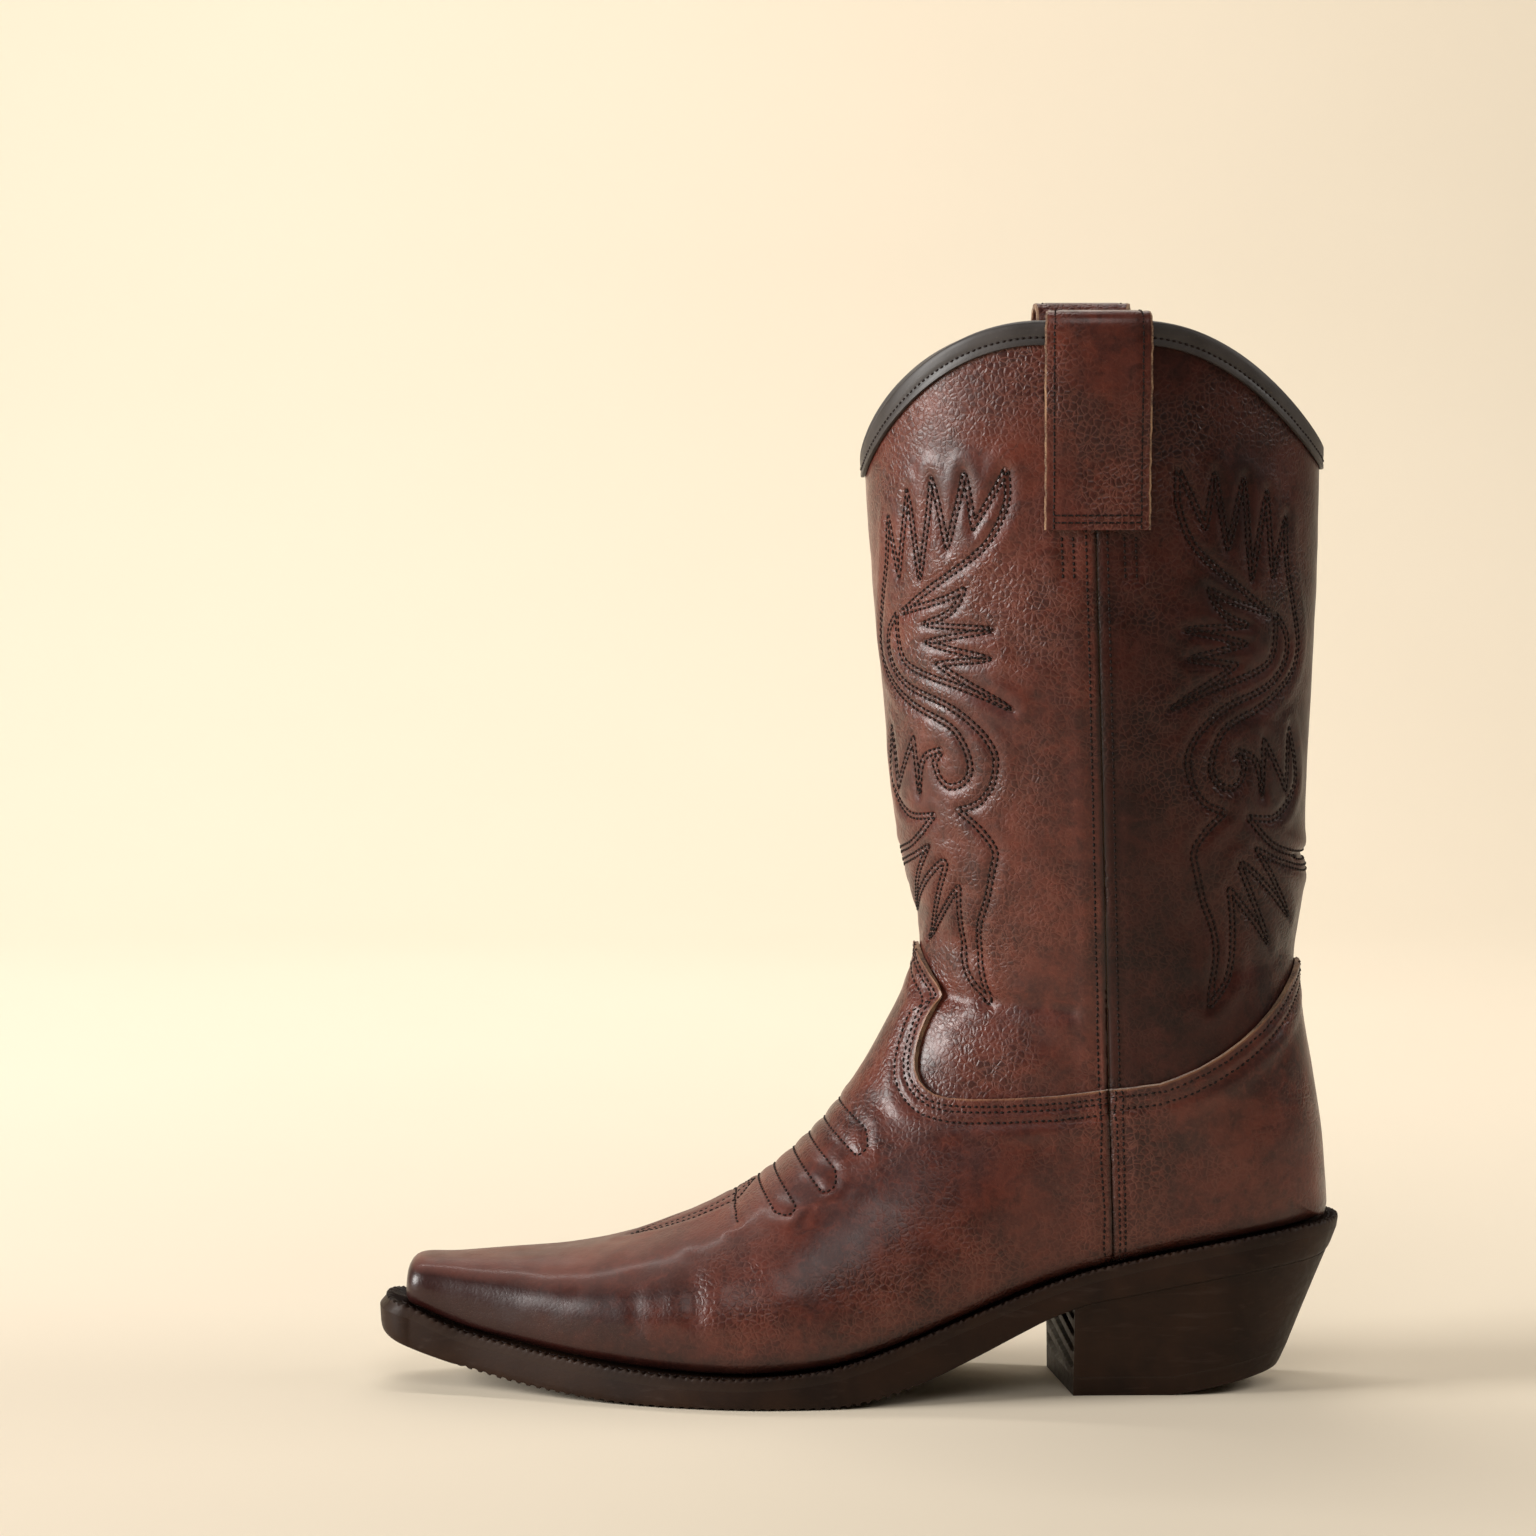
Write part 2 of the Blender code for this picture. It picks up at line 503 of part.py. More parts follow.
def strap_path(top):
    """The strap's middle line as (offset from the shaft, height): up outside, over the edge, down inside."""
    foot, outer, inner = STRAP_LEGS
    crown = top - STRAP_THICK / 2 - STRAP_SPRING
    centre, reach = (outer + inner) / 2, (outer - inner) / 2
    arch = [(centre + reach * np.sign(np.cos(a)) * abs(np.cos(a)) ** 0.8,
             STRAP_SPRING + crown * np.sin(a) ** 0.8) for a in np.linspace(0, np.pi, 11)]
    return np.array([(foot, STRAP_FOOT), (foot, 290), (outer, 312), *arch, (inner, 312), (inner, 290),
                     (inner, STRAP_FOOT + 4)])


def add_pull_strap(which, side):
    path = strap_path(STRAP_TOPS[which])
    direction = np.gradient(path, axis=0)
    direction /= np.linalg.norm(direction, axis=1, keepdims=True)
    across = np.stack([direction[:, 1], -direction[:, 0]], 1)
    places = np.linspace(-STRAP_HALF_WIDTH, STRAP_HALF_WIDTH, 6) + STRAP_CENTRES[which]
    points = []
    for reach in (STRAP_THICK / 2, -STRAP_THICK / 2):
        for offset, z in path + reach * across:
            for x in places:
                t, v = shaft_place(x, z, side)
                points.append(layer_point(t, v, offset))
    outer = np.arange(len(path) * len(places)).reshape(len(path), len(places))
    inner = outer + outer.size
    faces = []
    for i in range(len(path) - 1):
        faces += strip(outer[i], outer[i + 1]) + strip(inner[i], inner[i + 1])
    for i in (0, -1):
        faces += strip(outer[i], inner[i]) + strip(outer[:, i], inner[:, i])
    add_object(which + "_pull_strap", points, faces, "shaft_leather")


# ---- The bottom ----


def bottom_xs(start, end, count=26):
    """Places along the boot, closer together towards both ends."""
    return start + (end - start) * (1 - np.cos(np.linspace(0, np.pi, count))) / 2


def edge_points(xs, z, margin, ends):
    """The outer and inner edges of a bottom piece at the places xs. The margins say how far it stands out from
    the seat line: along the sides, and (toe, heel) at the ends."""
    margins = np.interp(xs, *np.array(margin, float).T) if isinstance(margin, list) else margin
    edges = []
    for side, line in ((-1, SEAT_LATERAL), (1, SEAT_MEDIAL)):
        y = side * half_width(xs, line, margins, *ends) + swing(xs)
        edges.append(np.stack([xs, y, z], 1))
    return edges


def plate_between(name, top_edges, bottom_edges, finish):
    """A solid between two surfaces, each given by its outer and inner edge."""
    count = len(top_edges[0])
    points = np.concatenate([*top_edges, *bottom_edges])
    a, b, c, d = np.arange(4 * count).reshape(4, count)
    faces = strip(a, b) + strip(b, d) + strip(d, c) + strip(c, a)
    for i in (0, -1):
        faces += [(a[i], b[i], d[i]), (a[i], d[i], c[i])]
    return add_object(name, points, faces, finish)


def inset_plate(name, start, end, inset, top, thick, finish):
    """A board inside the upper, whose top is `top` over the seat line."""
    xs = bottom_xs(start, end)
    z = along(SEAT, xs) + top
    edges = edge_points(xs, z, -inset, (-inset, -inset))
    lower = [e - (0, 0, thick) for e in edges]
    return plate_between(name, edges, lower, finish)


def add_boards():
    toe, heel = TOE_X, HEEL_X
    insole_top = GAP + INSOLE_THICK
    start, end = toe + INSOLE_INSET, heel - INSOLE_INSET
    inset_plate("insole_board", start, end, INSOLE_INSET, insole_top, INSOLE_THICK, "board")
    sock_top = insole_top + GAP + SOCK_THICK
    inset_plate("sock_lining", start + GAP, end - GAP, INSOLE_INSET + GAP, sock_top, SOCK_THICK, "lining")
    inset = WELT_INSET + GAP
    inset_plate("cork_filler", toe + inset, FOREPART_END, inset, -GAP, WELT_THICK, "cork")
    end = heel - inset
    seat_board = inset_plate("heel_seat_board", HEEL_PART_START, end, inset, -GAP, WELT_THICK, "board")
    for cutter in nail_cutters("heel_seat_board"):
        cut(seat_board, cutter, "DIFFERENCE")
    xs = np.linspace(FOREPART_END + GAP, HEEL_PART_START - GAP, SHANK_COUNT)
    z = along(SEAT, xs) - SHANK_DROP
    edges = [np.stack([xs, np.full_like(xs, y), z], 1) for y in (-SHANK_HALF_WIDTH, SHANK_HALF_WIDTH)]
    plate_between("shank", edges, [e - (0, 0, SHANK_THICK) for e in edges], "steel")


def add_welt():
    """A flat ring, whose section runs from the outer edge, over the top, to the inner edge and back."""
    def ring(depth, margin, ends):
        xs = bottom_xs(TOE_X - ends[0], HEEL_X + ends[1], WELT_COUNT)
        lateral, medial = edge_points(xs, along(SEAT, xs) - depth, margin, ends)
        return np.concatenate([lateral, medial[-2:0:-1]])

    outer, middle = (LEDGE, WELT_ENDS), (0, (0, 0))
    inner = (-WELT_INSET, (-WELT_INSET, -WELT_INSET))
    top, foot = WELT_DROP, WELT_DROP + WELT_THICK
    places = [(foot, outer), (top, outer), (top, middle), (top, inner), (foot, inner), (foot, middle)]
    rings = [ring(depth, *edge) for depth, edge in places]
    numbers = np.arange(len(rings) * len(rings[0])).reshape(len(rings), -1)
    numbers = np.hstack([numbers, numbers[:, :1]])
    faces = []
    for i, row in enumerate(numbers):
        faces += strip(row, numbers[(i + 1) % len(numbers)])
    add_object("welt", np.concatenate(rings), faces, "rubber")


def add_outsole():
    rise = [bottom_xs(TOE_X - toe, HEEL_X + heel, SOLE_COUNT) for toe, heel in (SOLE_ENDS, TREAD_ENDS)]
    top_z = along(SEAT, rise[0]) - WELT_DROP - WELT_THICK - 2 * GAP
    top = edge_points(rise[0], top_z, LEDGE, SOLE_ENDS)
    foot = edge_points(rise[1], sole_foot(rise[1]), LEDGE, TREAD_ENDS)
    outsole = plate_between("outsole", top, foot, "rubber")
    for cutter in nail_cutters("outsole"):
        cut(outsole, cutter, "DIFFERENCE")


def heel_outline(share):
    """The heel's edges, moved in from its top outline towards its foot by a share from 0 to 1."""
    rear = HEEL_X + TREAD_ENDS[1]
    xs = BREAST_X + (rear - BREAST_X) * np.sin(np.linspace(0, np.pi / 2, HEEL_AROUND))
    lateral, medial = edge_points(xs, sole_foot(xs), LEDGE, TREAD_ENDS)
    back = HEEL_BACK_TOP + (HEEL_BACK_FOOT - HEEL_BACK_TOP) * share
    widest = np.abs(lateral[:, 1]).max()
    narrow = HEEL_TOP_SHARE + (HEEL_FOOT_HALF_WIDTH / widest - HEEL_TOP_SHARE) * share
    for edge, skew in ((lateral, 0), (medial, BREAST_SKEW)):
        depth = (edge[:, 0] - BREAST_X) / (rear - BREAST_X)
        edge[:, 0] = BREAST_X + depth * (back - BREAST_X) - skew * (1 - depth)
        edge[:, 1] *= narrow
        edge[:, 2] = sole_foot(edge[:, 0]) - 2 * GAP
    return lateral, medial


def worn(x):
    """Height of the walked-off underside of the top lift."""
    return WEAR_SLOPE * np.maximum(x - WEAR_START, 0)


def add_heel():
    top, middle, foot = (heel_outline(share) for share in (0, LIFT_SHARE, 1))
    for edge in middle:
        edge[:, 2] = LIFT_THICK + GAP + worn(edge[:, 0])
    block = plate_between("heel_block", top, middle, "rubber")
    for cutter in nail_cutters("heel_block"):
        cut(block, cutter, "DIFFERENCE")
    lift_top = [edge - (0, 0, GAP) for edge in middle]
    for edge in foot:
        edge[:, 2] = worn(edge[:, 0])
    plate_between("heel_top_lift", lift_top, foot, "rubber")


def nail_cutters(owner):
    """Clearance holes for the nails and the screw, through one piece."""
    cutters = []
    places = [(place, NAIL_RADIUS, NAIL_FOOT) for place in NAIL_PLACES]
    places.append((SCREW_PLACE, SCREW_RADIUS, SCREW_FOOT))
    for i, (place, radius, foot) in enumerate(places):
        cutters.append(rod(f"{owner}_hole_{i + 1}", place, radius + GAP, foot - GAP, HOLE_TOP))
    return cutters


def rod(name, place, radius, foot, top, finish=None, sides=10):
    angles = np.arange(sides) * 2 * np.pi / sides
    circle = np.stack([place[0] + radius * np.cos(angles), place[1] + radius * np.sin(angles)], 1)
    points = [(x, y, z) for z in (foot, top) for x, y in circle]
    low, high = np.arange(2 * sides).reshape(2, sides)
    faces = [low[::-1], high] + strip(np.append(low, low[0]), np.append(high, high[0]))
    return add_object(name, points, faces, finish)


def add_fasteners():
    for i, place in enumerate(NAIL_PLACES):
        top = along(SEAT, place[0]) - GAP
        rod(f"heel_nail_{i + 1}", place, NAIL_RADIUS, NAIL_FOOT, top, "steel")
    rod("heel_screw", SCREW_PLACE, SCREW_RADIUS, SCREW_FOOT, along(SEAT, SCREW_PLACE[0]) - GAP, "steel")


def build():
    clear_scene()
    add_outer_leathers()
    add_shaft_panels()
    add_stiffeners()
    add_linings()
    add_seam_tapes()
    add_top_binding()
    add_pull_strap("lateral", -1)
    add_pull_strap("medial", 1)
    add_boards()
    add_welt()
    add_outsole()
    add_heel()
    add_fasteners()


build()
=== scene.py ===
"""The looks of a western boot: waxed leather with sewn flames, dark binding, pull straps and a rubber bottom.

The upper's leathers follow the same lofted surface as the CAD model, on a fine grid with sewn grooves, raw
edges and creases. Every stitch is a small rounded body that dips into the leather.
Lengths are in millimetres until a mesh is made. The toe points to -X, and the outer side faces -Y.
"""

import math
from collections import namedtuple

import bmesh
import bpy
import numpy as np
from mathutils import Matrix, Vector, noise
from mathutils.bvhtree import BVHTree
from mathutils.kdtree import KDTree


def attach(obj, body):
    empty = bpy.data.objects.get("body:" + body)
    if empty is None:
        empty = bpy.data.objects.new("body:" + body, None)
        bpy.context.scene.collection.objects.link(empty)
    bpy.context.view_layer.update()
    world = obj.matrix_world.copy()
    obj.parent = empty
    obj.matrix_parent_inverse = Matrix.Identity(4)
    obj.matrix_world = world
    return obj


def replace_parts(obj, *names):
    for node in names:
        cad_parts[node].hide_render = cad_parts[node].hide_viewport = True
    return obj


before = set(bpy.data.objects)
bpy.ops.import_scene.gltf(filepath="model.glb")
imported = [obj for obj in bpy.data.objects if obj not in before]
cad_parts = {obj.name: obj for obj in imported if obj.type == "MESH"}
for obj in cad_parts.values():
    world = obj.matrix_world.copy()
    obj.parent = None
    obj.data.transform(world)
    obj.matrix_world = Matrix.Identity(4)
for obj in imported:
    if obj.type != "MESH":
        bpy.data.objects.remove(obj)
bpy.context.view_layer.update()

METRES = 0.001
GAP = 0.3  # clearance between touching pieces

# The seat line, where the upper meets the bottom, and the outline that it has from above
TOE_X, HEEL_X = -141.0, 145.4
SEAT = [  # (x, z)
    (-152, 29.5), (-142, 27), (-128, 21.2), (-105, 16.2), (-80, 12.8), (-55, 10.9), (-31, 10.9), (-6, 14),
    (12, 19.4), (31, 26.8), (49, 33.8), (68, 40.4), (87, 45), (105, 48.6), (124, 52.2), (137, 54), (153, 55),
]
SEAT_LATERAL = [  # (x, half-width)
    (-141, 11), (-134, 13.4), (-124, 16), (-106, 23.5), (-84, 33), (-60, 41), (-34, 46), (-6, 44.5), (24, 37),
    (56, 31.5), (88, 29.6), (118, 29.4), (146, 29.4),
]
SEAT_MEDIAL = [
    (-141, 11), (-134, 13.4), (-124, 16.5), (-106, 24), (-84, 32), (-60, 38.5), (-34, 42.5), (-6, 40),
    (24, 32.5), (56, 28.6), (88, 28.2), (118, 29), (146, 29),
]
TOE_ROUND, TOE_POWER = 7.5, 2.4  # length and squareness of the snip toe's rounded end
HEEL_ROUND = 32.0  # length of the rounded heel end
TOE_SWING, SWING_START, SWING_LENGTH = 4.0, -30.0, 100.0  # the toe leans to the inner side

# Layers of the upper: (inner, outer) offset from the lofted surface
OUTER_LEATHER = (0.15, 1.85)
SHAFT_LEATHER = (-1.65, -0.15)
LINING = (-3.95, -2.75)

# The bottom, measured down from the seat line
WELT_DROP, WELT_THICK = 1.1, 3.0
LEDGE = [(-150, 6.6), (-60, 6.4), (0, 4.6), (60, 4.2), (150, 4.2)]  # how far the welt stands out: (x, width)
WELT_ENDS = (8.4, 5.8)  # how far it stands out at the toe and the heel
SOLE_ENDS = (10.2, 5.4)  # the same at the top of the outsole
TREAD_ENDS = (9.4, 2.2)  # the same at the underside
SOLE_FOOT = [  # underside of the outsole: (x, z)
    (-152, 17.4), (-144, 13.8), (-132, 9.8), (-112, 4.8), (-93, 1.9), (-74, 0.3), (-62, 0), (-8, 0),
    (2, 1.4), (12, 4), (24, 8.8), (37, 14.8), (49, 20.8), (58, 25.2), (68, 29), (87, 33), (105, 36.6),
    (124, 40.2), (153, 43.4),
]
WELT_INSET = 6.0

# The heel
BREAST_X = 66.5
BREAST_SKEW = 5.5  # the inner end of the breast is this much further forward
HEEL_BACK_TOP, HEEL_BACK_FOOT = 147.5, 132.6  # rearmost points where the heel meets the sole and the floor
HEEL_TOP_SHARE, HEEL_FOOT_HALF_WIDTH = 0.97, 26.0
LIFT_THICK, LIFT_SHARE = 6.0, 0.8
WEAR_START, WEAR_SLOPE = 97.5, 0.19  # the back edge of the top lift is worn away

# The shaft
SEAM_FOOT, SEAM_TOP = (78.0, 50.0), (68.3, 333.0)  # the side seam, (x, z)
FRONT_DIP, BACK_DIP, SIDE_PEAK = 290.8, 293.8, 331.6  # heights of the scalloped top edge
FRONT_SCALLOP, BACK_SCALLOP = (1.15, 1.4), (1.12, 2.1)  # how fast the edge climbs away from each dip
SCALLOP_SOFTNESS = 0.05
BINDING_THICK, BINDING_DEPTH = 1.05, 6.2

# The pull straps
STRAP_HALF_WIDTH, STRAP_THICK = 15.7, 2.3
STRAP_CENTRES = {"lateral": 70.9, "medial": 72.8}
STRAP_FOOT, STRAP_SPRING = 270.0, 331.2  # the loop leaves the shaft's sides at the second height
STRAP_TOPS = {"lateral": 336.1, "medial": 341.0}
STRAP_LEGS = (1.5, 2.95, -7.5)  # offsets: outer leg's foot, outer leg's top, inner leg

Station = namedtuple("Station", "front back lateral medial widest front_power back_power")
# Front and back ends (x, z), half-widths, share of the way back to the widest point, superellipse powers
STATIONS = [
    Station((-141, 27), (-141, 27), 6, 6, 0.62, 2.4, 2.4),
    Station((-140.7, 33), (-140.3, 26), 11.5, 11.5, 0.64, 2.5, 2.4),
    Station((-139.9, 38.2), (-138, 25), 14, 14, 0.66, 2.7, 2.4),
    Station((-134.8, 38.5), (-133, 23), 15.5, 15.5, 0.66, 2.8, 2.4),
    Station((-126, 38.1), (-124, 20), 18.4, 18.8, 0.68, 2.8, 2.4),
    Station((-108, 39.4), (-106, 16), 26, 26.4, 0.68, 2.6, 2.4),
    Station((-89, 40.6), (-84, 13), 35.4, 34.2, 0.70, 2.4, 2.4),
    Station((-71, 44.6), (-60, 11), 43.4, 40.8, 0.73, 2.25, 2.4),
    Station((-52.6, 51.4), (-34, 11), 48.4, 45, 0.75, 2.1, 2.4),
    Station((-34.6, 60.2), (-6, 14), 47.4, 43.4, 0.75, 2.0, 2.3),
    Station((-18.2, 73.6), (24, 24), 42, 38.6, 0.72, 2.0, 2.2),
    Station((-5, 88.2), (56, 36), 37.2, 35, 0.66, 2.0, 2.2),
    Station((4.8, 103), (88, 45), 36.4, 35.4, 0.58, 2.0, 2.2),
    Station((12, 116.5), (118, 51), 37, 36.4, 0.53, 2.0, 2.3),
    Station((17.2, 127.5), (137, 54.2), 37.6, 37, 0.5, 2.0, 2.4),
    Station((19.2, 135.5), (145.4, 55), 38, 37.6, 0.49, 2.0, 2.5),
    Station((18.8, 142), (145.4, 55), 38.4, 38, 0.48, 2.0, 2.5),
    Station((18.2, 147), (145.4, 55), 38.8, 38.4, 0.48, 2.0, 2.5),
    Station((17.4, 152.5), (145, 68), 39.6, 39.4, 0.48, 2.0, 2.5),
    Station((15.8, 158.5), (143.6, 82), 41, 41, 0.48, 2.05, 2.4),
    Station((13.4, 165.5), (141, 99), 43, 43, 0.48, 2.1, 2.3),
    Station((11.8, 174), (138, 118), 45.4, 45.4, 0.48, 2.1, 2.2),
    Station((10.8, 184), (135.8, 136), 47.8, 47.8, 0.48, 2.1, 2.1),
    Station((9.6, 196), (140.2, 156), 50.2, 50.2, 0.48, 2.1, 2.1),
    Station((8.2, 210), (139.8, 180), 52.4, 52.4, 0.48, 2.1, 2.1),
    Station((6.3, 228), (141, 206), 54.4, 54.4, 0.48, 2.1, 2.1),
    Station((4.2, 250), (142.6, 238), 56, 56, 0.48, 2.1, 2.1),
    Station((2.3, 274), (143.6, 271), 57.2, 57.2, 0.48, 2.1, 2.1),
    Station((1.0, 300), (143.7, 300), 58, 58, 0.48, 2.1, 2.1),
    Station((0.4, 330), (143.6, 330), 58.4, 58.4, 0.48, 2.1, 2.1),
    Station((0.0, 360), (143.5, 360), 58.6, 58.6, 0.48, 2.1, 2.1),
]
TOE_STATION = 0.6  # up to here the sections stand upright in front of the toe
HEEL_STATION = 16  # here the back end leaves the seat line and starts up the heel
LEVEL_STATION = 27  # from here up the sections are level

# Outlines of the leathers, seen from the side: (x, z)
FRONT_X, BACK_X, FLOOR_Z, CEILING_Z = -175, 175, -20, 370
TONGUE = [(2, 157.5), (12, 156.8), (16.6, 146), (20.4, 135.5), (24.6, 128.2)]
THROAT = [(26, 124.6), (22, 117), (18.8, 108), (18.2, 101), (21, 96), (27.5, 93.6), (43, 94), (61, 95.4)]
COUNTER_TOP = [(92, 99.6), (104, 104.4), (117, 112.4), (127, 121.4), (134.3, 130.4), (142, 142), (160, 166)]
FRONT_LAP = [(2, 147), (9, 145), (9.6, 128), (8, 112), (9.4, 96), (16, 86.5), (28, 84)]
BACK_LAP = [(94, 90), (110, 97), (124, 108), (134, 120), (146, 134), (165, 158)]
SEAM_CROSSING_Z, LAP_CROSSING_Z = 97.6, 87.6  # where the leathers' and the laps' edges meet the side seam
LINING_SPLIT = [(-60, 104), (-20, 78), (20, 63)]  # top edge of the vamp lining, down to the side seam
LINING_SPLIT_SEAM_Z = 58.0


# ---- The lofted surface ----


def smooth_step(value):
    value = np.clip(value, 0, 1)
    return value * value * (3 - 2 * value)


def along(line, x):
    """A smooth curve through a line's points, read at x."""
    xs, ys = np.array(line, float).T
    slopes = np.gradient(ys, xs)
    i = np.clip(np.searchsorted(xs, x) - 1, 0, len(xs) - 2)
    step = xs[i + 1] - xs[i]
    s = np.clip((x - xs[i]) / step, 0, 1)
    rise = ys[i + 1] - ys[i]
    start, end = slopes[i] * step, slopes[i + 1] * step
    return ys[i] + s * start + s**2 * (3 * rise - 2 * start - end) + s**3 * (start + end - 2 * rise)


def half_width(x, line, margin=0.0, toe_margin=0.0, heel_margin=0.0):
    """Half-width of the seat line moved outward by a margin, with its rounded toe and heel ends."""
    toe_round, heel_round = TOE_ROUND + toe_margin / 3, HEEL_ROUND + heel_margin
    toe = np.clip((TOE_X - toe_margin + toe_round - x) / toe_round, 0, 1)
    heel = np.clip((x - HEEL_X - heel_margin + heel_round) / heel_round, 0, 1)
    return (along(line, x) + margin) * (1 - toe**TOE_POWER) ** (1 / TOE_POWER) * np.sqrt(1 - heel**2)


def sole_foot(x):
    """Height of the outsole's underside, which lies on the floor under the ball."""
    return np.maximum(along(SOLE_FOOT, x), 0)


def swing(x):
    return TOE_SWING * smooth_step((SWING_START - x) / SWING_LENGTH)


def station_values(t):
    """The stations blended by a uniform cubic B-spline."""
    table = np.array([[*s.front, *s.back, *s[2:]] for s in STATIONS], float)
    table = np.vstack([2 * table[0] - table[1], table, 2 * table[-1] - table[-2]])
    t = np.clip(np.asarray(t, float), 0, len(STATIONS) - 1 - 1e-9)
    i = t.astype(int)
    f = (t - i)[..., None]
    weights = [(1 - f) ** 3, 3 * f**3 - 6 * f**2 + 4, -3 * f**3 + 3 * f**2 + 3 * f + 1, f**3]
    return sum(w * table[i + k] for k, w in enumerate(weights)) / 6


Section = namedtuple("Section", "front_x front_z back_x back_z half front_reach back_reach front_power "
                     "back_power length end_angle")
WIDEST_SEAT = 0.985  # the most of its half-width that a section may have left at the seat line


def section(t, outer_side):
    """The section at the station t, on the outer or the inner side."""
    values = np.moveaxis(station_values(t), -1, 0)
    front_x, front_z, back_x, back_z, lateral, medial, widest, front_power, back_power = values
    on_seat = t < HEEL_STATION
    back_z = np.where(on_seat, along(SEAT, back_x), back_z)
    half = np.where(outer_side, lateral, medial)
    seat = np.where(outer_side, half_width(back_x, SEAT_LATERAL), half_width(back_x, SEAT_MEDIAL))
    share = np.where(on_seat, np.clip(seat / half, 0, WIDEST_SEAT), 0)
    end_angle = np.pi - np.arcsin(share ** (back_power / 2))
    length = np.hypot(front_x - back_x, front_z - back_z) + 1e-9
    back_reach = (1 - widest) * length / (1 - share**back_power) ** (1 / back_power)
    return Section(front_x, front_z, back_x, back_z, half, widest * length, back_reach, front_power,
                   back_power, length, end_angle)


def upper_point(t, v):
    """A point of the lofted surface. t runs through the stations, and v runs from 0 at the front middle line
    to 1 at the seat line or back middle line, negative on the outer side."""
    t, v = np.broadcast_arrays(np.asarray(t, float), np.asarray(v, float))
    s = section(t, v < 0)
    angle = np.abs(v) * s.end_angle
    ahead = angle <= np.pi / 2
    power = 2 / np.where(ahead, s.front_power, s.back_power)
    reach = np.where(ahead, s.front_reach, -s.back_reach) * np.abs(np.cos(angle)) ** power
    y = s.half * np.abs(np.sin(angle)) ** power * np.where(v < 0, -1, 1)
    x = s.front_x + (s.back_x - s.front_x) / s.length * (s.front_reach - reach)
    z = s.front_z + (s.back_z - s.front_z) / s.length * (s.front_reach - reach)
    return np.stack([x, y + swing(x), z], -1)


def upper_normal(t, v):
    """Outward unit normal of the lofted surface, level along the seat line so that the layers end on it."""
    small = 1e-3
    t, v = np.broadcast_arrays(np.asarray(t, float), np.asarray(v, float))
    up = np.where(t >= HEEL_STATION, t + small, np.minimum(t + small, HEEL_STATION - small / 2))
    down = np.where(t >= HEEL_STATION, np.maximum(t - small, HEEL_STATION), np.maximum(t - small, small))
    along_t = upper_point(up, v) - upper_point(down, v)
    across = upper_point(t, np.clip(v + small, -1, 1)) - upper_point(t, np.clip(v - small, -1, 1))
    normal = np.cross(along_t, across)
    normal[..., 1] = np.where((np.abs(v) >= 1) & (t >= HEEL_STATION), 0, normal[..., 1])
    level = np.where(t < HEEL_STATION, smooth_step((np.abs(v) - 0.85) / 0.15), 0)
    level = np.maximum(level, 1 - smooth_step((t - TOE_STATION) / TOE_STATION))
    normal[..., 2] = normal[..., 2] * (1 - level)
    return normal / (np.linalg.norm(normal, axis=-1, keepdims=True) + 1e-12)


def layer_point(t, v, offset):
    return upper_point(t, v) + np.asarray(offset, float)[..., None] * upper_normal(t, v)


def shaft_station(z, v):
    """The station value at which the column v of the shaft has height z."""
    ts = np.linspace(LEVEL_STATION - 2, len(STATIONS) - 1.001, 120)
    return np.interp(z, upper_point(ts, v)[:, 2], ts)


def top_height(v):
    """Height of the scalloped top edge."""
    from_front = np.abs(v) * np.pi

    def climb(angle, rate, power):
        return (np.sin(np.minimum(rate * angle, np.pi / 2)) ** 2 + SCALLOP_SOFTNESS**2) ** (power / 2)

    front = FRONT_DIP + (SIDE_PEAK - FRONT_DIP) * np.minimum(climb(from_front, *FRONT_SCALLOP), 1)
    back = BACK_DIP + (SIDE_PEAK - BACK_DIP) * np.minimum(climb(np.pi - from_front, *BACK_SCALLOP), 1)
    return np.where(from_front < np.pi / 2, front, back)


def rounded(points, per_span=2):
    """A curve through the points, for the round stretches of an outline."""
    p = np.array([points[0], *points, points[-1]], float)
    curve = []
    for i in range(1, len(p) - 2):
        a, b, c, d = p[i - 1 : i + 3]
        for s in np.arange(per_span) / per_span:
            square, cube = 2 * a - 5 * b + 4 * c - d, 3 * b - a - 3 * c + d
            curve.append(tuple(0.5 * (2 * b + (c - a) * s + square * s**2 + cube * s**3)))
    return [*curve, tuple(points[-1])]


def seam_at(z, shift=0.0):
    """The side seam's place at the height z, moved along X."""
    slope = (SEAM_TOP[0] - SEAM_FOOT[0]) / (SEAM_TOP[1] - SEAM_FOOT[1])
    return SEAM_FOOT[0] + slope * (z - SEAM_FOOT[1]) + shift, z


def strap_path(top):
    """The strap's middle line as (offset from the shaft, height): up outside, over the edge, down inside."""
    foot, outer, inner = STRAP_LEGS
    crown = top - STRAP_THICK / 2 - STRAP_SPRING
    centre, reach = (outer + inner) / 2, (outer - inner) / 2
    arch = [(centre + reach * np.sign(np.cos(a)) * abs(np.cos(a)) ** 0.8,
             STRAP_SPRING + crown * np.sin(a) ** 0.8) for a in np.linspace(0, np.pi, 11)]
    return np.array([(foot, STRAP_FOOT), (foot, 290), (outer, 312), *arch, (inner, 312), (inner, 290),
                     (inner, STRAP_FOOT + 4)])


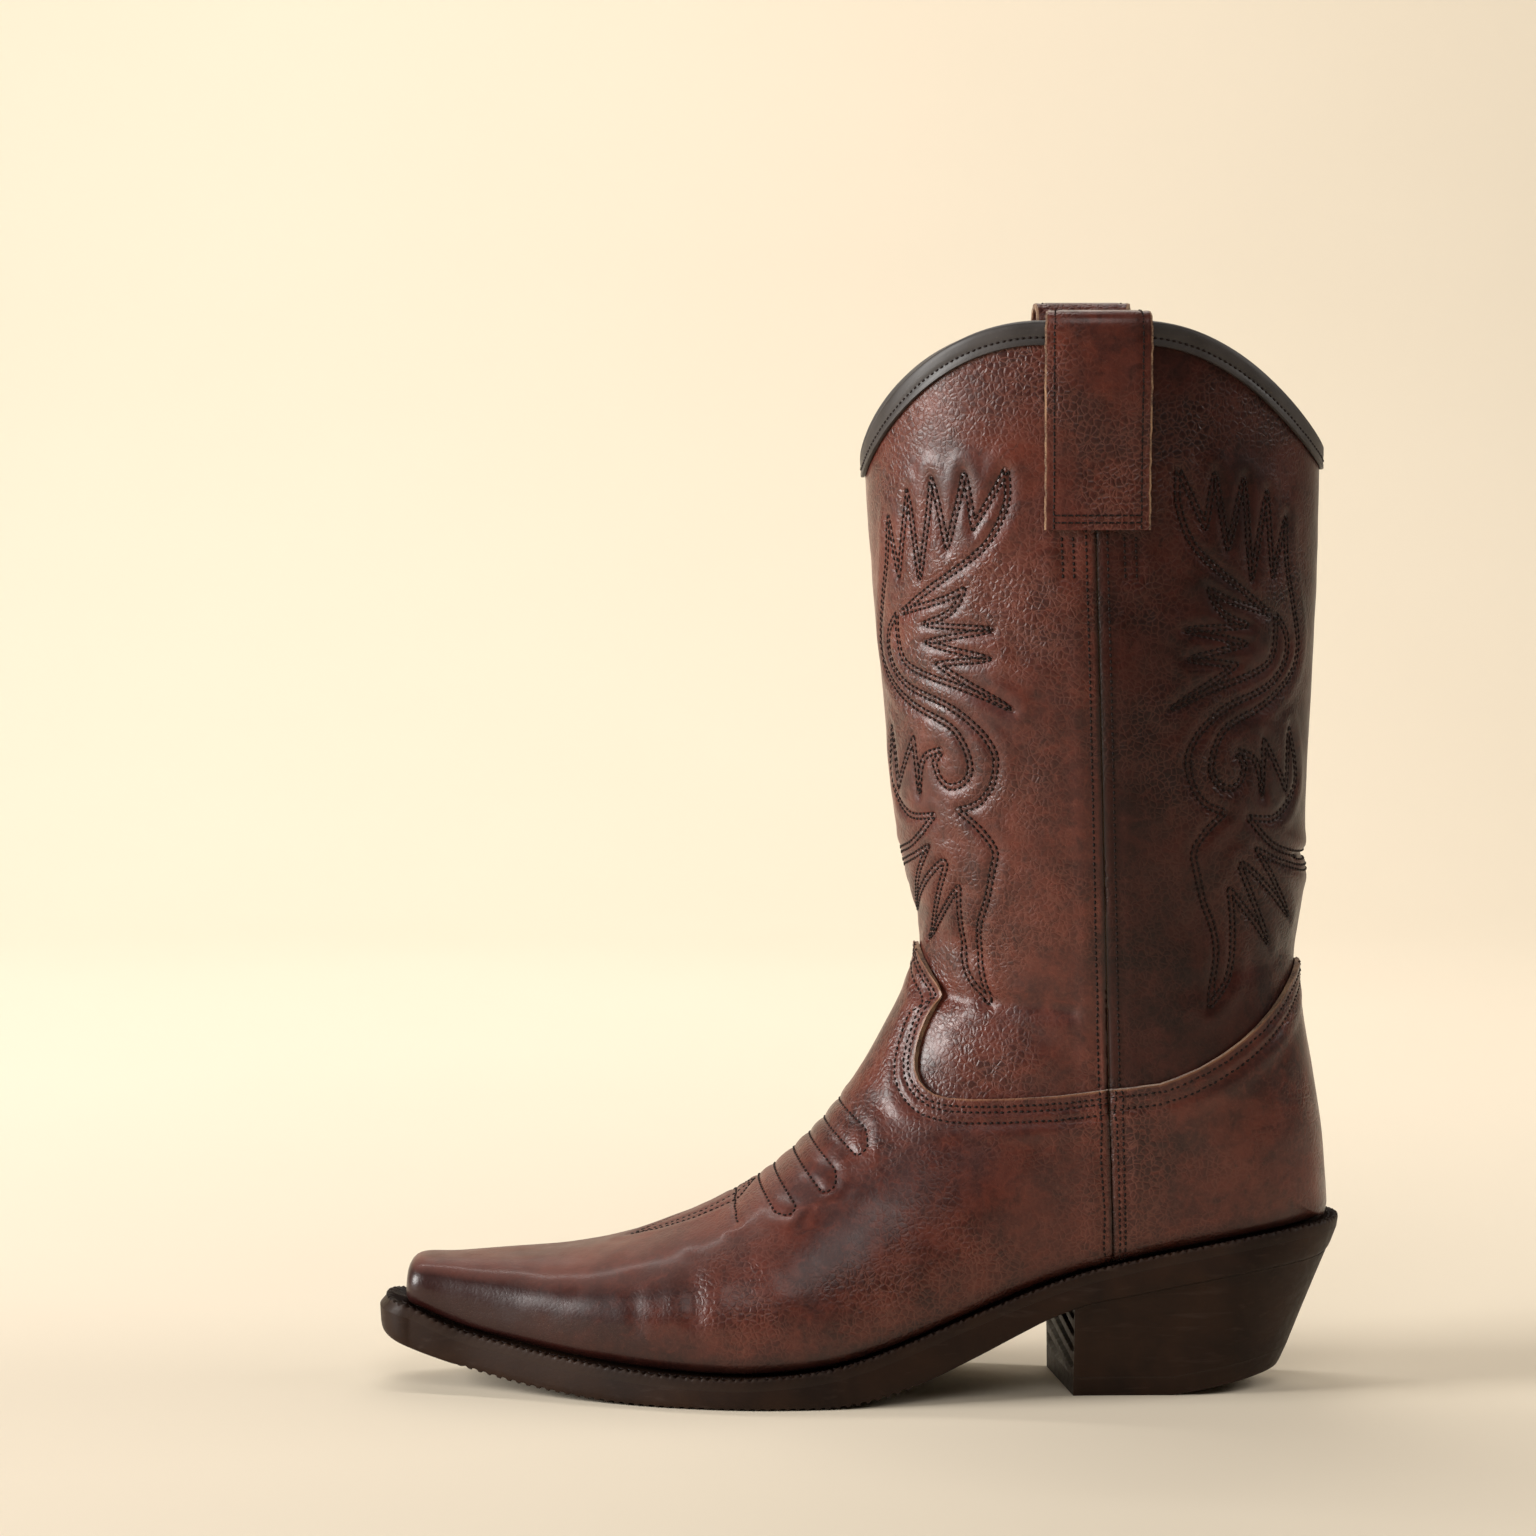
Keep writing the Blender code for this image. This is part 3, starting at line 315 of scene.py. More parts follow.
def heel_outline(share):
    """The heel's edges, moved in from its top outline towards its foot by a share from 0 to 1."""
    rear = HEEL_X + TREAD_ENDS[1]
    xs = BREAST_X + (rear - BREAST_X) * np.sin(np.linspace(0, np.pi / 2, HEEL_AROUND))
    lateral, medial = (edge_line(xs, sole_foot(xs), LEDGE, TREAD_ENDS, side) for side in (-1, 1))
    back = HEEL_BACK_TOP + (HEEL_BACK_FOOT - HEEL_BACK_TOP) * share
    widest = np.abs(lateral[:, 1]).max()
    narrow = HEEL_TOP_SHARE + (HEEL_FOOT_HALF_WIDTH / widest - HEEL_TOP_SHARE) * share
    for edge, skew in ((lateral, 0), (medial, BREAST_SKEW)):
        depth = (edge[:, 0] - BREAST_X) / (rear - BREAST_X)
        edge[:, 0] = BREAST_X + depth * (back - BREAST_X) - skew * (1 - depth)
        edge[:, 1] *= narrow
        edge[:, 2] = sole_foot(edge[:, 0]) - 2 * GAP
    return lateral, medial


def worn(x):
    """Height of the walked-off underside of the top lift."""
    return WEAR_SLOPE * np.maximum(x - WEAR_START, 0)


STATION_SAMPLES = np.linspace(0, len(STATIONS) - 1.001, 1500)


def locate(x, z, side):
    """Stations and columns of the surface points that lie at (x, z) as seen from the side. The front-back
    lines fan out, so the station is where the point passes from behind its line to in front of it."""
    x, z = np.atleast_1d(np.asarray(x, float)), np.atleast_1d(np.asarray(z, float))
    s = section(STATION_SAMPLES, side < 0)
    run, rise = s.back_x - s.front_x, s.back_z - s.front_z
    side_of_line = run * (z[:, None] - s.front_z) - rise * (x[:, None] - s.front_x)
    crossed = side_of_line[:, 1:] <= 0
    i = np.where(crossed.any(1), crossed.argmax(1), len(STATION_SAMPLES) - 2)
    pick = np.arange(len(x))
    before, after = side_of_line[pick, i], side_of_line[pick, i + 1]
    share = np.clip(before / np.where(before == after, 1, before - after), 0, 1)
    t = STATION_SAMPLES[i] + share * (STATION_SAMPLES[1] - STATION_SAMPLES[0])
    s = section(t, side < 0)
    run, rise = s.back_x - s.front_x, s.back_z - s.front_z
    reach = s.front_reach - ((x - s.front_x) * run + (z - s.front_z) * rise) / s.length
    ahead = reach >= 0
    scaled = np.clip(np.where(ahead, reach / s.front_reach, -reach / s.back_reach), 0, 1)
    cosine = scaled ** (np.where(ahead, s.front_power, s.back_power) / 2)
    angle = np.arccos(np.where(ahead, cosine, -cosine))
    return t, side * np.clip(angle / s.end_angle, 0, 1)


def resample(points, step):
    """Points at an even spacing along a polyline."""
    points = np.asarray(points, float)
    lengths = np.concatenate([[0], np.cumsum(np.linalg.norm(np.diff(points, axis=0), axis=1))])
    count = max(int(round(lengths[-1] / step)), 1) + 1
    at = np.linspace(0, lengths[-1], count)
    return np.stack([np.interp(at, lengths, column) for column in points.T], 1)


def tree_of(targets):
    tree = KDTree(len(targets))
    for i, target in enumerate(targets):
        tree.insert(target, i)
    tree.balance()
    return tree


def distances(points, targets):
    """Distance from each point to the nearest of the targets."""
    tree = tree_of(targets)
    return np.array([tree.find(p)[2] for p in points])


def ripple(points, size, seed=0.0):
    """Smooth noise from -1 to 1, with features of the given size."""
    shift = Vector((seed, -seed, 2 * seed))
    return np.array([noise.noise(Vector(p) / size + shift) for p in points])


def inside(points, outline):
    """Which points (x, z) lie within a closed outline."""
    x, z = points[..., 0], points[..., 1]
    result = np.zeros(x.shape, bool)
    for (x1, z1), (x2, z2) in zip(outline, [*outline[1:], outline[0]]):
        if z1 != z2:
            spans = (z1 > z) != (z2 > z)
            result ^= spans & (x < x1 + (z - z1) * (x2 - x1) / (z2 - z1))
    return result


# ---- Meshes ----

MASK_SPAN = 10.0  # distances are stored as shares of this length
FAR = 99.0  # stands for no edge, row or welt nearby


def new_piece(name, points, faces, look, smooth_angle=None):
    """An object from points in millimetres, riding on the boot."""
    mesh = bpy.data.meshes.new(name)
    if isinstance(faces, np.ndarray):
        faces = faces.tolist()
    mesh.from_pydata((np.asarray(points, float) * METRES).tolist(), [], faces)
    mesh.shade_smooth()
    obj = bpy.data.objects.new(name, mesh)
    bpy.context.scene.collection.objects.link(obj)
    mesh.materials.append(look)
    if smooth_angle:
        mesh.set_sharp_from_angle(angle=smooth_angle)
    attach(obj, "root")
    return obj


def weld(obj, distance=0.0):
    """Merges points within a distance, if there is one, and turns the faces outward."""
    edit = bmesh.new()
    edit.from_mesh(obj.data)
    if distance:
        bmesh.ops.remove_doubles(edit, verts=edit.verts, dist=distance * METRES)
        bmesh.ops.dissolve_degenerate(edit, edges=edit.edges, dist=distance * METRES / 10)
    bmesh.ops.recalc_face_normals(edit, faces=edit.faces)
    edit.to_mesh(obj.data)
    edit.free()
    return obj


def set_mask(obj, edge, middle=FAR, low=FAR):
    """Stores each point's distance to a cut edge, to the middle of a double row and to where painted shade
    lies, along the welt and the folded seams.
    """
    count = len(obj.data.vertices)
    colours = np.ones((count, 4), np.float32)
    for channel, values in enumerate((edge, middle, low)):
        colours[:, channel] = np.clip(np.asarray(values) / MASK_SPAN, 0, 1)
    obj.data.attributes.new("mask", "FLOAT_COLOR", "POINT").data.foreach_set("color", colours.ravel())


def quads(numbers, wrap_rows=False, wrap_columns=False):
    """Faces between neighbouring point numbers of a grid."""
    if wrap_rows:
        numbers = np.vstack([numbers, numbers[:1]])
    if wrap_columns:
        numbers = np.hstack([numbers, numbers[:, :1]])
    corners = [numbers[:-1, :-1], numbers[1:, :-1], numbers[1:, 1:], numbers[:-1, 1:]]
    return np.stack(corners, -1).reshape(-1, 4)


# ---- The seams ----

STITCH_PITCH, THREAD_RADIUS, STITCH_FILL = 2.0, 0.36, 0.76  # fill: the stitch's share of the pitch
ROW_STEP = 0.45  # spacing of the points that a row of stitches is worked out from
ON_BOOT = 0.6  # an outline's point counts as on the boot when it is found again this closely
STITCH_REACH = 4.0  # a stitch is left out where the leather is further away than this

Leather = namedtuple("Leather", "obj tree")


def cut_line(points, side):
    """Stations and columns along an outline (x, z) on one side of the boot, without what lies beyond it."""
    line = resample(points, ROW_STEP / 3)
    t, v = locate(line[:, 0], line[:, 1], side)
    found = upper_point(t, v)
    on_boot = np.hypot(found[:, 0] - line[:, 0], found[:, 2] - line[:, 1]) < ON_BOOT
    return np.stack([t[on_boot], v[on_boot]], 1)


def both_sides(points):
    """The same line on the outer and the inner side."""
    return [cut_line(points, -1), cut_line(points, 1)]


def parallel(places, distance):
    """A row beside a cut line, moved over the surface by a distance, positive to the left of its direction as
    seen from outside."""
    points = upper_point(places[:, 0], places[:, 1])
    normals = upper_normal(places[:, 0], places[:, 1])
    tangents = np.gradient(points, axis=0)
    tangents /= np.linalg.norm(tangents, axis=1, keepdims=True) + 1e-12
    return points + distance * np.cross(normals, tangents)


def thin_loops(points, limit=0.35):
    """Drops points that turn back on a row, which happens inside tight bends."""
    kept = [points[0]]
    heading = points[1] - points[0]
    for point in points[1:]:
        step = point - kept[-1]
        length = np.linalg.norm(step)
        if length > limit and step @ heading > 0:
            kept.append(point)
            heading = step
    return np.array(kept)


CAPSULE_SIDES = 5
CAPSULE = [  # a stitch from end to end: (place along it, radius, height), as shares
    (-1, 0, -1.5), (-0.8, 0.85, -0.35), (-0.3, 1, 0.35), (0.3, 1, 0.35), (0.8, 0.85, -0.35), (1, 0, -1.5),
]


def stitch_places(rows, tree, pitch):
    """Starts, ends and normals of all the stitches along some rows, on the leather."""
    starts, ends, normals = [], [], []
    for row in rows:
        if len(row) < 2:
            continue
        points = resample(row, pitch)
        for a, b in zip(points[:-1], points[1:]):
            place_a, normal_a, _, gap_a = tree.find_nearest(a)
            place_b, normal_b, _, gap_b = tree.find_nearest(b)
            if max(gap_a, gap_b) > STITCH_REACH:
                continue
            starts.append(place_a)
            ends.append(place_b)
            normals.append(normal_a + normal_b)
    normals = np.array(normals)
    return np.array(starts), np.array(ends), normals / np.linalg.norm(normals, axis=1, keepdims=True)


def stitch_bodies(rows, tree, pitch=STITCH_PITCH, radius=THREAD_RADIUS):
    """Points and faces of all the stitches along some rows."""
    starts, ends, normals = stitch_places(rows, tree, pitch)
    half = (ends - starts) / 2 * STITCH_FILL
    side = np.cross(normals, half)
    side /= np.linalg.norm(side, axis=1, keepdims=True) + 1e-12
    middle = (starts + ends) / 2
    angles = (np.arange(CAPSULE_SIDES) * 2 * np.pi / CAPSULE_SIDES)[None, :, None]
    spoke = np.cos(angles) * side[:, None] + np.sin(angles) * normals[:, None]
    rings = []
    for place, share, height in CAPSULE:
        centre = (middle + place * half + height * radius * normals)[:, None]
        rings.append(centre if share == 0 else centre + share * radius * spoke)
    points = np.concatenate(rings, 1)
    faces = stitch_faces()
    per_stitch = points.shape[1]
    all_faces = [[i + per_stitch * k for i in face] for k in range(len(points)) for face in faces]
    return points.reshape(-1, 3), all_faces


def stitch_faces():
    count, sides = len(CAPSULE) - 2, CAPSULE_SIDES
    last = 1 + count * sides
    faces = [(0, 1 + (i + 1) % sides, 1 + i) for i in range(sides)]
    for ring in range(count - 1):
        low, high = 1 + ring * sides, 1 + (ring + 1) * sides
        faces += [(low + i, low + (i + 1) % sides, high + (i + 1) % sides, high + i) for i in range(sides)]
    low = last - sides
    return faces + [(low + i, low + (i + 1) % sides, last) for i in range(sides)]


def add_stitching(name, rows, leather, look, **sizes):
    points, faces = stitch_bodies(rows, leather.tree, **sizes)
    return new_piece(name, points, faces, look)


# ---- Leather sheets ----

RAW_ROUND, RAW_REACH = 0.3, 1.5  # how far a cut edge is rounded down, and over what width
FOLD_ROUND, FOLD_REACH = 1.0, 1.8  # the same for a folded edge
FOLD_WIDTH, FOLD_FALL = 3.6, 1.6  # the thicker strip along a folded edge, and over what width it ends
GROOVE_DEPTH, GROOVE_WIDTH = 0.4, 0.9  # the thread pulls the leather in
PUFF, PUFF_PLACE, PUFF_WIDTH = 0.35, 3.6, 2.4  # and it swells beside the thread
TUCK_DEPTH, TUCK_REACH = 1.1, 4.0  # the leather turns in where it meets the welt
SEAM_SHADE_FACTOR = 4.5  # painted shade reaches this many times less far from a folded edge than from the welt
SNAP_REACH, LEAST_AREA = 1.4, 1e-3  # border points this near a cut line move onto it, and smaller faces go
FINE_COLUMNS = np.linspace(0, 1, 401)


def sheet_tree(points, faces):
    return BVHTree.FromPolygons(points.tolist(), faces.tolist())


def leather_height(base, outer, raw, folded, rows, relief, fold_height):
    """Height of the leather's face over the lofted surface, with its edges rounded and its rows sunk."""
    height = np.full(len(base), float(outer))
    height -= RAW_ROUND * np.clip(1 - raw / RAW_REACH, 0, 1) ** 2
    height += fold_height * (1 - smooth_step((folded - FOLD_WIDTH) / FOLD_FALL))
    height -= FOLD_ROUND * np.clip(1 - folded / FOLD_REACH, 0, 1) ** 2
    height += relief(base)
    if len(rows):
        gap = distances(base, np.concatenate(rows))
        height += PUFF * np.exp(-(((gap - PUFF_PLACE) / PUFF_WIDTH) ** 2))
        height -= GROOVE_DEPTH * np.exp(-((gap / GROOVE_WIDTH) ** 2))
    return height


def far_from_seat(points):
    """Distance to the seat line on both sides."""
    t = np.linspace(0, HEEL_STATION, 900)
    return distances(points, np.concatenate([upper_point(t, -1), upper_point(t, 1)]))


def add_leather(name, grid, layer, outline, raw_lines, folded_lines, looks, relief, rows=(),
                centres=(), fold_height=0.0, at_welt=False):
    """A leather on a grid of stations and columns, trimmed to its outline, with a rim along its edges.
    Raw edges are cut and pale, and folded ones are round and darkened with painted shade. relief gives each
    point's extra height.
    Along the rows the thread sinks in, and centres are the middle lines of double rows."""
    t, v, faces = trimmed(*grid, outline, raw_lines)
    base, normals = upper_point(t, v), upper_normal(t, v)
    raw, folded = far_from(base, raw_lines), far_from(base, folded_lines)
    height = leather_height(base, layer[1], raw, folded, rows, relief, fold_height)
    low = far_from_seat(base) if at_welt else np.full(len(t), FAR)
    height -= TUCK_DEPTH * np.clip(1 - low / TUCK_REACH, 0, 1) ** 2
    # the shade painted along the welt also lines the folded seams, over a narrower band
    low = np.minimum(low, SEAM_SHADE_FACTOR * folded)
    middle = distances(base, np.concatenate(centres)) if len(centres) else np.full(len(t), FAR)
    outer, inner = base + height[:, None] * normals, base + layer[0] * normals
    rims = open_edges(faces)
    rim_faces = np.stack([rims[:, 1], rims[:, 0], rims[:, 0] + len(t), rims[:, 1] + len(t)], 1)
    all_faces = np.concatenate([faces, faces[:, ::-1] + len(t), rim_faces])
    obj = new_piece(name, np.concatenate([outer, inner]), all_faces, looks[0])
    obj.data.materials.append(looks[1])
    index = np.zeros(len(all_faces), np.int32)
    index[-len(rims) :] = raw[rims].max(1) < RAW_REACH
    obj.data.polygons.foreach_set("material_index", index)
    obj.data.set_sharp_from_angle(angle=1.0)
    set_mask(obj, np.tile(raw, 2), np.tile(middle, 2), np.tile(low, 2))
    return Leather(obj, sheet_tree(outer, faces))


def far_from(points, lines):
    """Distance to the nearest of some lines of places."""
    if not lines:
        return np.full(len(points), FAR)
    places = np.concatenate(lines)
    return distances(points, upper_point(places[:, 0], places[:, 1]))


def seam_columns(table, side, shift):
    """For each row of stations, the column at which it meets the side seam, or 1 if it ends ahead of it."""
    points = upper_point(table, side * FINE_COLUMNS)
    past = points[..., 0] - seam_at(points[..., 2], shift)[0]
    crossed = (past > 0).any(1)
    i = np.where(crossed, (past > 0).argmax(1), len(FINE_COLUMNS) - 1)
    row = np.arange(len(table))
    before, after = past[row, i - 1], past[row, i]
    share = np.where(crossed, before / np.where(before == after, 1, before - after), 1)
    return FINE_COLUMNS[i - 1] + np.clip(share, 0, 1) * (FINE_COLUMNS[i] - FINE_COLUMNS[i - 1])


def seam_grid(rows_at, panel, shift, count):
    """Stations, columns and faces of a front (-1) or back (+1) piece, whose outermost columns follow the side
    seams. rows_at gives the rows' stations for some columns."""
    shares = np.linspace(0, 1, count)
    tables = [rows_at(side * FINE_COLUMNS) for side in (-1, 1)]
    edges = [seam_columns(table, side, shift) for table, side in zip(tables, (-1, 1))]
    kept = np.ones(len(edges[0]), bool) if panel < 0 else np.minimum(*edges) < 1
    ts, vs = [], []
    for side, table, edge in zip((-1, 1), tables, edges):
        table, edge = table[kept], edge[kept, None]
        v = shares * edge if panel < 0 else edge + shares * (1 - edge)
        ts.append(np.array([np.interp(a, FINE_COLUMNS, b) for a, b in zip(v, table)]))
        vs.append(side * v)
    lateral = np.arange(ts[0].size).reshape(ts[0].shape)
    medial = lateral + lateral.size
    if panel < 0:
        medial[:, 0] = lateral[:, 0]
    else:
        closed = ts[0][:, -1] >= HEEL_STATION
        medial[closed, -1] = lateral[closed, -1]
    faces = np.concatenate([quads(lateral[:, ::-1]), quads(medial)])
    return np.concatenate(ts).ravel(), np.concatenate(vs).ravel(), faces


def trimmed(t, v, faces, outline, cut_lines):
    """The places and faces inside an outline, with the border beside the cut lines moved onto them."""
    points = upper_point(t, v)
    corners = points[faces]
    area = np.linalg.norm(np.cross(corners[:, 2] - corners[:, 0], corners[:, 3] - corners[:, 1]), axis=1)
    faces = faces[inside(corners.mean(1)[:, ::2], outline) & (area > LEAST_AREA)]
    uses = np.bincount(faces.ravel(), minlength=len(t))
    if len(cut_lines):
        places = np.concatenate(cut_lines)
        tree = tree_of(upper_point(places[:, 0], places[:, 1]))
        for i in np.flatnonzero((uses > 0) & (uses < 4)):
            _, nearest, distance = tree.find(points[i])
            if distance < SNAP_REACH:
                t[i], v[i] = places[nearest]
    used = np.flatnonzero(uses > 0)
    renumber = np.full(len(t), -1)
    renumber[used] = np.arange(len(used))
    return t[used], v[used], renumber[faces]


def open_edges(faces):
    """Directed edges that only one face has."""
    starts = faces.ravel()
    ends = np.roll(faces, -1, axis=1).ravel()
    size = faces.max() + 1
    keys, back = starts * size + ends, ends * size + starts
    lonely = ~np.isin(keys, back)
    return np.stack([starts[lonely], ends[lonely]], 1)


# ---- Where the seams and the ornament run ----

THROAT_ROWS = (2.4, 4.1, 7.4)
COUNTER_ROWS = (2.4, 6.2)
VAMP_SEAM_ROWS, COUNTER_SEAM_ROWS = (2.6,), (-2.0, -3.7)
FRONT_SEAM_ROWS, BACK_SEAM_ROWS = (2.9,), (-3.2,)
TACK_PLACES, TACK_SPAN = (-10.4, -7.0, 8.6, 12.2), (268.0, 255.0)  # rows under the straps: arcs, heights
DOUBLE_ROW = 0.8  # half the distance between the ornament's two rows
SHARP_TURN = math.radians(50)

# The ornament, laid flat: (distance from the side seam, height)
FLAME = [
    (26, 288), (34.5, 270.5), (38, 287), (42, 264), (48.5, 285.5), (50.5, 254), (57.5, 281.5), (59.5, 255),
    (66, 273.5), (66.5, 260), (69.5, 248), (72, 240), (73, 234), (71, 227.5), (65, 222), (55, 216),
    (41.5, 210), (37, 205), (35, 199.5), (35, 195), (38, 191.5), (42, 190.5), (45, 193), (47, 198),
    (44, 201.5),
]
NECK = [(26, 288), (25.5, 278.5), (29, 267.5), (35.5, 260), (49, 250), (58, 244)]
FEATHERS = [
    (58, 244), (43, 248), (35.5, 251.5), (39.5, 244.5), (49, 240.5), (26.5, 239.5), (48.5, 235),
    (27.5, 230.5), (44.5, 228.5), (21, 215), (35, 221), (50, 225.5), (58, 229.5), (60.5, 236.5),
    (60.5, 243.5),
]
SPINE = [
    (60.5, 243.5), (66, 237.5), (65.5, 229.5), (57.5, 222), (41.5, 216), (32, 209), (27.5, 202.5),
    (27, 197.5), (28.5, 191.5), (32.5, 186), (39, 183.5),
]
TAIL = [
    (39, 183.5), (32.5, 178), (28, 171.5), (29, 165), (31, 156), (34, 148), (35, 139), (32, 123.5), (39, 132),
    (41, 142), (41, 151.5), (40, 159.5), (56, 141.5), (44, 166), (47, 166), (67.5, 149), (50.5, 171.5),
    (61.5, 167), (78, 164), (94, 164),
]
CREST = [
    (47.5, 181.5), (59, 181), (69, 187.5), (72.5, 194.5), (68, 208), (65.5, 189.5), (55, 205), (53.5, 187.5),
    (52.5, 195.5), (50, 200), (44, 202),
]
WING = [(47.5, 181.5), (59, 172), (78, 168), (94, 168)]
ORNAMENT = [FLAME, NECK, FEATHERS, SPINE, TAIL, CREST, WING]
FRONT_SHIFT, FRONT_SHIFT_START, FRONT_SHIFT_LENGTH = (1.0, 5.0), 288.0, 50.0
FRONT_STRETCH, FRONT_STRETCH_START = 0.14, 26.0  # the front's ornament is a little wider

# Rows over the instep and the toe: (station, distance from the middle line)
STATION_LENGTH = 19.0  # millimetres per station over the instep
RIDGES = [(8.7, 27), (9.25, 30), (9.55, 35), (9.95, 33), (10.3, 32), (10.65, 30), (11.05, 28)]
TOE_LINES = [
    [(6.95, 0), (7.5, 3.2), (8.25, 6.4), (8.8, 4.5), (9.2, 0)],
    [(6.95, 0), (7.4, 5.5), (8.15, 10.5), (8.85, 11.1), (9.2, 0)],
]


def turn_angles(points):
    steps = np.diff(points, axis=0)
    headings = np.arctan2(steps[:, 1], steps[:, 0])
    return np.abs((np.diff(headings) + np.pi) % (2 * np.pi) - np.pi)


def drawn(points):
    """A line through the points, round where it bends gently and sharp where it turns back."""
    points = np.array(points, float)
    corners = [0, *(np.flatnonzero(turn_angles(points) > SHARP_TURN) + 1), len(points) - 1]
    line = []
    for first, last in zip(corners[:-1], corners[1:]):
        line += rounded([tuple(p) for p in points[first : last + 1]], per_span=5)[:-1]
    return np.array([*line, points[-1]])


def beside(line, distance):
    """A flat line moved sideways, with short mitres."""
    steps = np.diff(line, axis=0)
    steps /= np.linalg.norm(steps, axis=1, keepdims=True) + 1e-12
    left = np.stack([-steps[:, 1], steps[:, 0]], 1)
    before, after = np.vstack([left[:1], left]), np.vstack([left, left[-1:]])
    mitre = np.maximum(1 + (before * after).sum(1), 0.35)
    return line + distance * (before + after) / mitre[:, None]


class FlatShaft:
    """One side of the shaft laid flat: arc lengths from the side seam at each height."""

    def __init__(self, side):
        self.side = side
        self.heights = np.arange(84.0, 330.0, 3.0)
        self.columns = np.linspace(0.0, 1.0, 141)
        ts = np.linspace(11, len(STATIONS) - 1.001, 500)
        levels = []
        for column in self.columns:
            z = upper_point(ts, column * side)[:, 2]
            levels.append(np.interp(self.heights, np.maximum.accumulate(z), ts))
        self.stations = np.array(levels).T
        points = upper_point(self.stations, self.columns * side)
        steps = np.linalg.norm(np.diff(points, axis=1), axis=2)
        arcs = np.hstack([np.zeros((len(self.heights), 1)), np.cumsum(steps, axis=1)])
        at_seam = [np.interp(seam_at(z)[0], p[:, 0], a) for z, p, a in zip(self.heights, points, arcs)]
        self.arcs = arcs - np.array(at_seam)[:, None]

    def places(self, arc, height):
        """Stations and columns of points given by their distance behind the side seam and their height."""
        found = []
        for s, z in zip(np.atleast_1d(arc), np.atleast_1d(height)):
            step = self.heights[1] - self.heights[0]
            k = np.clip((z - self.heights[0]) / step, 0, len(self.heights) - 1.001)
            low, share = int(k), k % 1
            pair = []
            for row in (low, low + 1):
                column = np.interp(s, self.arcs[row], self.columns)
                pair.append((np.interp(column, self.columns, self.stations[row]), column))
            found.append(np.array(pair[0]) * (1 - share) + np.array(pair[1]) * share)
        found = np.array(found)
        found[:, 1] *= self.side
        return found

    def row(self, line):
        """A row of points on the shaft under a flat line of (arc, height)."""
        line = resample(line, ROW_STEP * 1.5)
        places = self.places(line[:, 0], line[:, 1])
        return upper_point(places[:, 0], places[:, 1])


def ornament_lines(panel):
    """The ornament's middle lines, laid flat, on the front panel (-1) or the back panel (+1)."""
    lines = [drawn(points) for points in ORNAMENT]
    if panel < 0:
        for line in lines:
            low = smooth_step((FRONT_SHIFT_START - line[:, 1]) / FRONT_SHIFT_LENGTH)
            wider = FRONT_STRETCH * np.maximum(line[:, 0] - FRONT_STRETCH_START, 0)
            line[:, 0] = -(line[:, 0] + wider + FRONT_SHIFT[0] + FRONT_SHIFT[1] * low)
    return lines


def ornament_rows(flat, panel):
    """The ornament's double rows."""
    pair = (-DOUBLE_ROW, DOUBLE_ROW)
    return [flat.row(beside(line, reach)) for line in ornament_lines(panel) for reach in pair]


def ornament_centres(flat, panel):
    return [flat.row(line) for line in ornament_lines(panel)]


def tack_rows(flat, panel):
    places = [s for s in TACK_PLACES if s * panel > 0]
    return [flat.row([(s, TACK_SPAN[0]), (s, TACK_SPAN[1])]) for s in places]


def over_front(t, s):
    """Points on the vamp at the station t and the distance s from the middle line."""
    columns = np.linspace(0, 1, 120)
    found = []
    for station, reach in zip(t, s):
        side = 1 if reach >= 0 else -1
        points = upper_point(station, columns * side)
        arcs = np.concatenate([[0], np.cumsum(np.linalg.norm(np.diff(points, axis=0), axis=1))])
        found.append(upper_point(station, side * np.interp(abs(reach), arcs, columns)))
    return np.array(found)


def instep_rows():
    """The wavy rows across the instep, joined in pairs, and the pointed lines on the toe."""
    rows = []
    for (low, reach), (high, high_reach) in zip(RIDGES[1::2], RIDGES[2::2]):
        line = [(low, 0), (low, reach), ((low + high) / 2, (reach + high_reach) / 2 + 1.5),
                (high, high_reach - 3), (high, 0)]
        rows.append(line)
    rows.append([(RIDGES[0][0] + 0.15, 0), (RIDGES[0][0], RIDGES[0][1])])
    rows += TOE_LINES
    made = []
    for line in rows:
        line = np.array(line, float) * (STATION_LENGTH, 1)
        line = resample(line, ROW_STEP * 1.5)
        for side in (-1, 1):
            made.append(over_front(line[:, 0] / STATION_LENGTH, line[:, 1] * side))
    return made


# ---- Relief ----

CALM_START, CALM_LENGTH = FRONT_DIP - 22, 14.0
CREASES = [  # start and end as seen from the side, width, height
    ((22, 125), (64, 122), 3.2, -1.1), ((30, 110), (58, 107), 9.0, 1.0), ((12, 150), (34, 139), 4.0, -0.7),
    ((-52, 42), (-50, 28), 2.8, -0.5), ((-57, 44), (-57, 28), 4.0, 0.3), ((-44, 46), (-43, 27), 5.0, 0.45),
    ((-70, 36), (-68, 24), 3.0, -0.4), ((100, 128), (132, 139), 4.0, -0.5), ((-34, 52), (-22, 34), 5.0, 0.5),
    ((136, 167.5), (150, 168.5), 1.6, -1.5), ((128, 166), (146, 160), 4.0, 0.4),
]


def crease_height(points):
    total = np.zeros(len(points))
    for start, end, width, height in CREASES:
        start, end = np.array(start, float), np.array(end, float)
        along_line = end - start
        share = np.clip(((points[:, ::2] - start) @ along_line) / (along_line @ along_line), 0, 1)
        gap = np.linalg.norm(points[:, ::2] - start - share[:, None] * along_line, axis=1)
        total += height * np.exp(-((gap / width) ** 2))
    return total


def calm(points):
    """From 1 down to 0 towards the top edge, where the binding and the straps lie on the leather."""
    return 1 - smooth_step((points[:, 2] - CALM_START) / CALM_LENGTH)


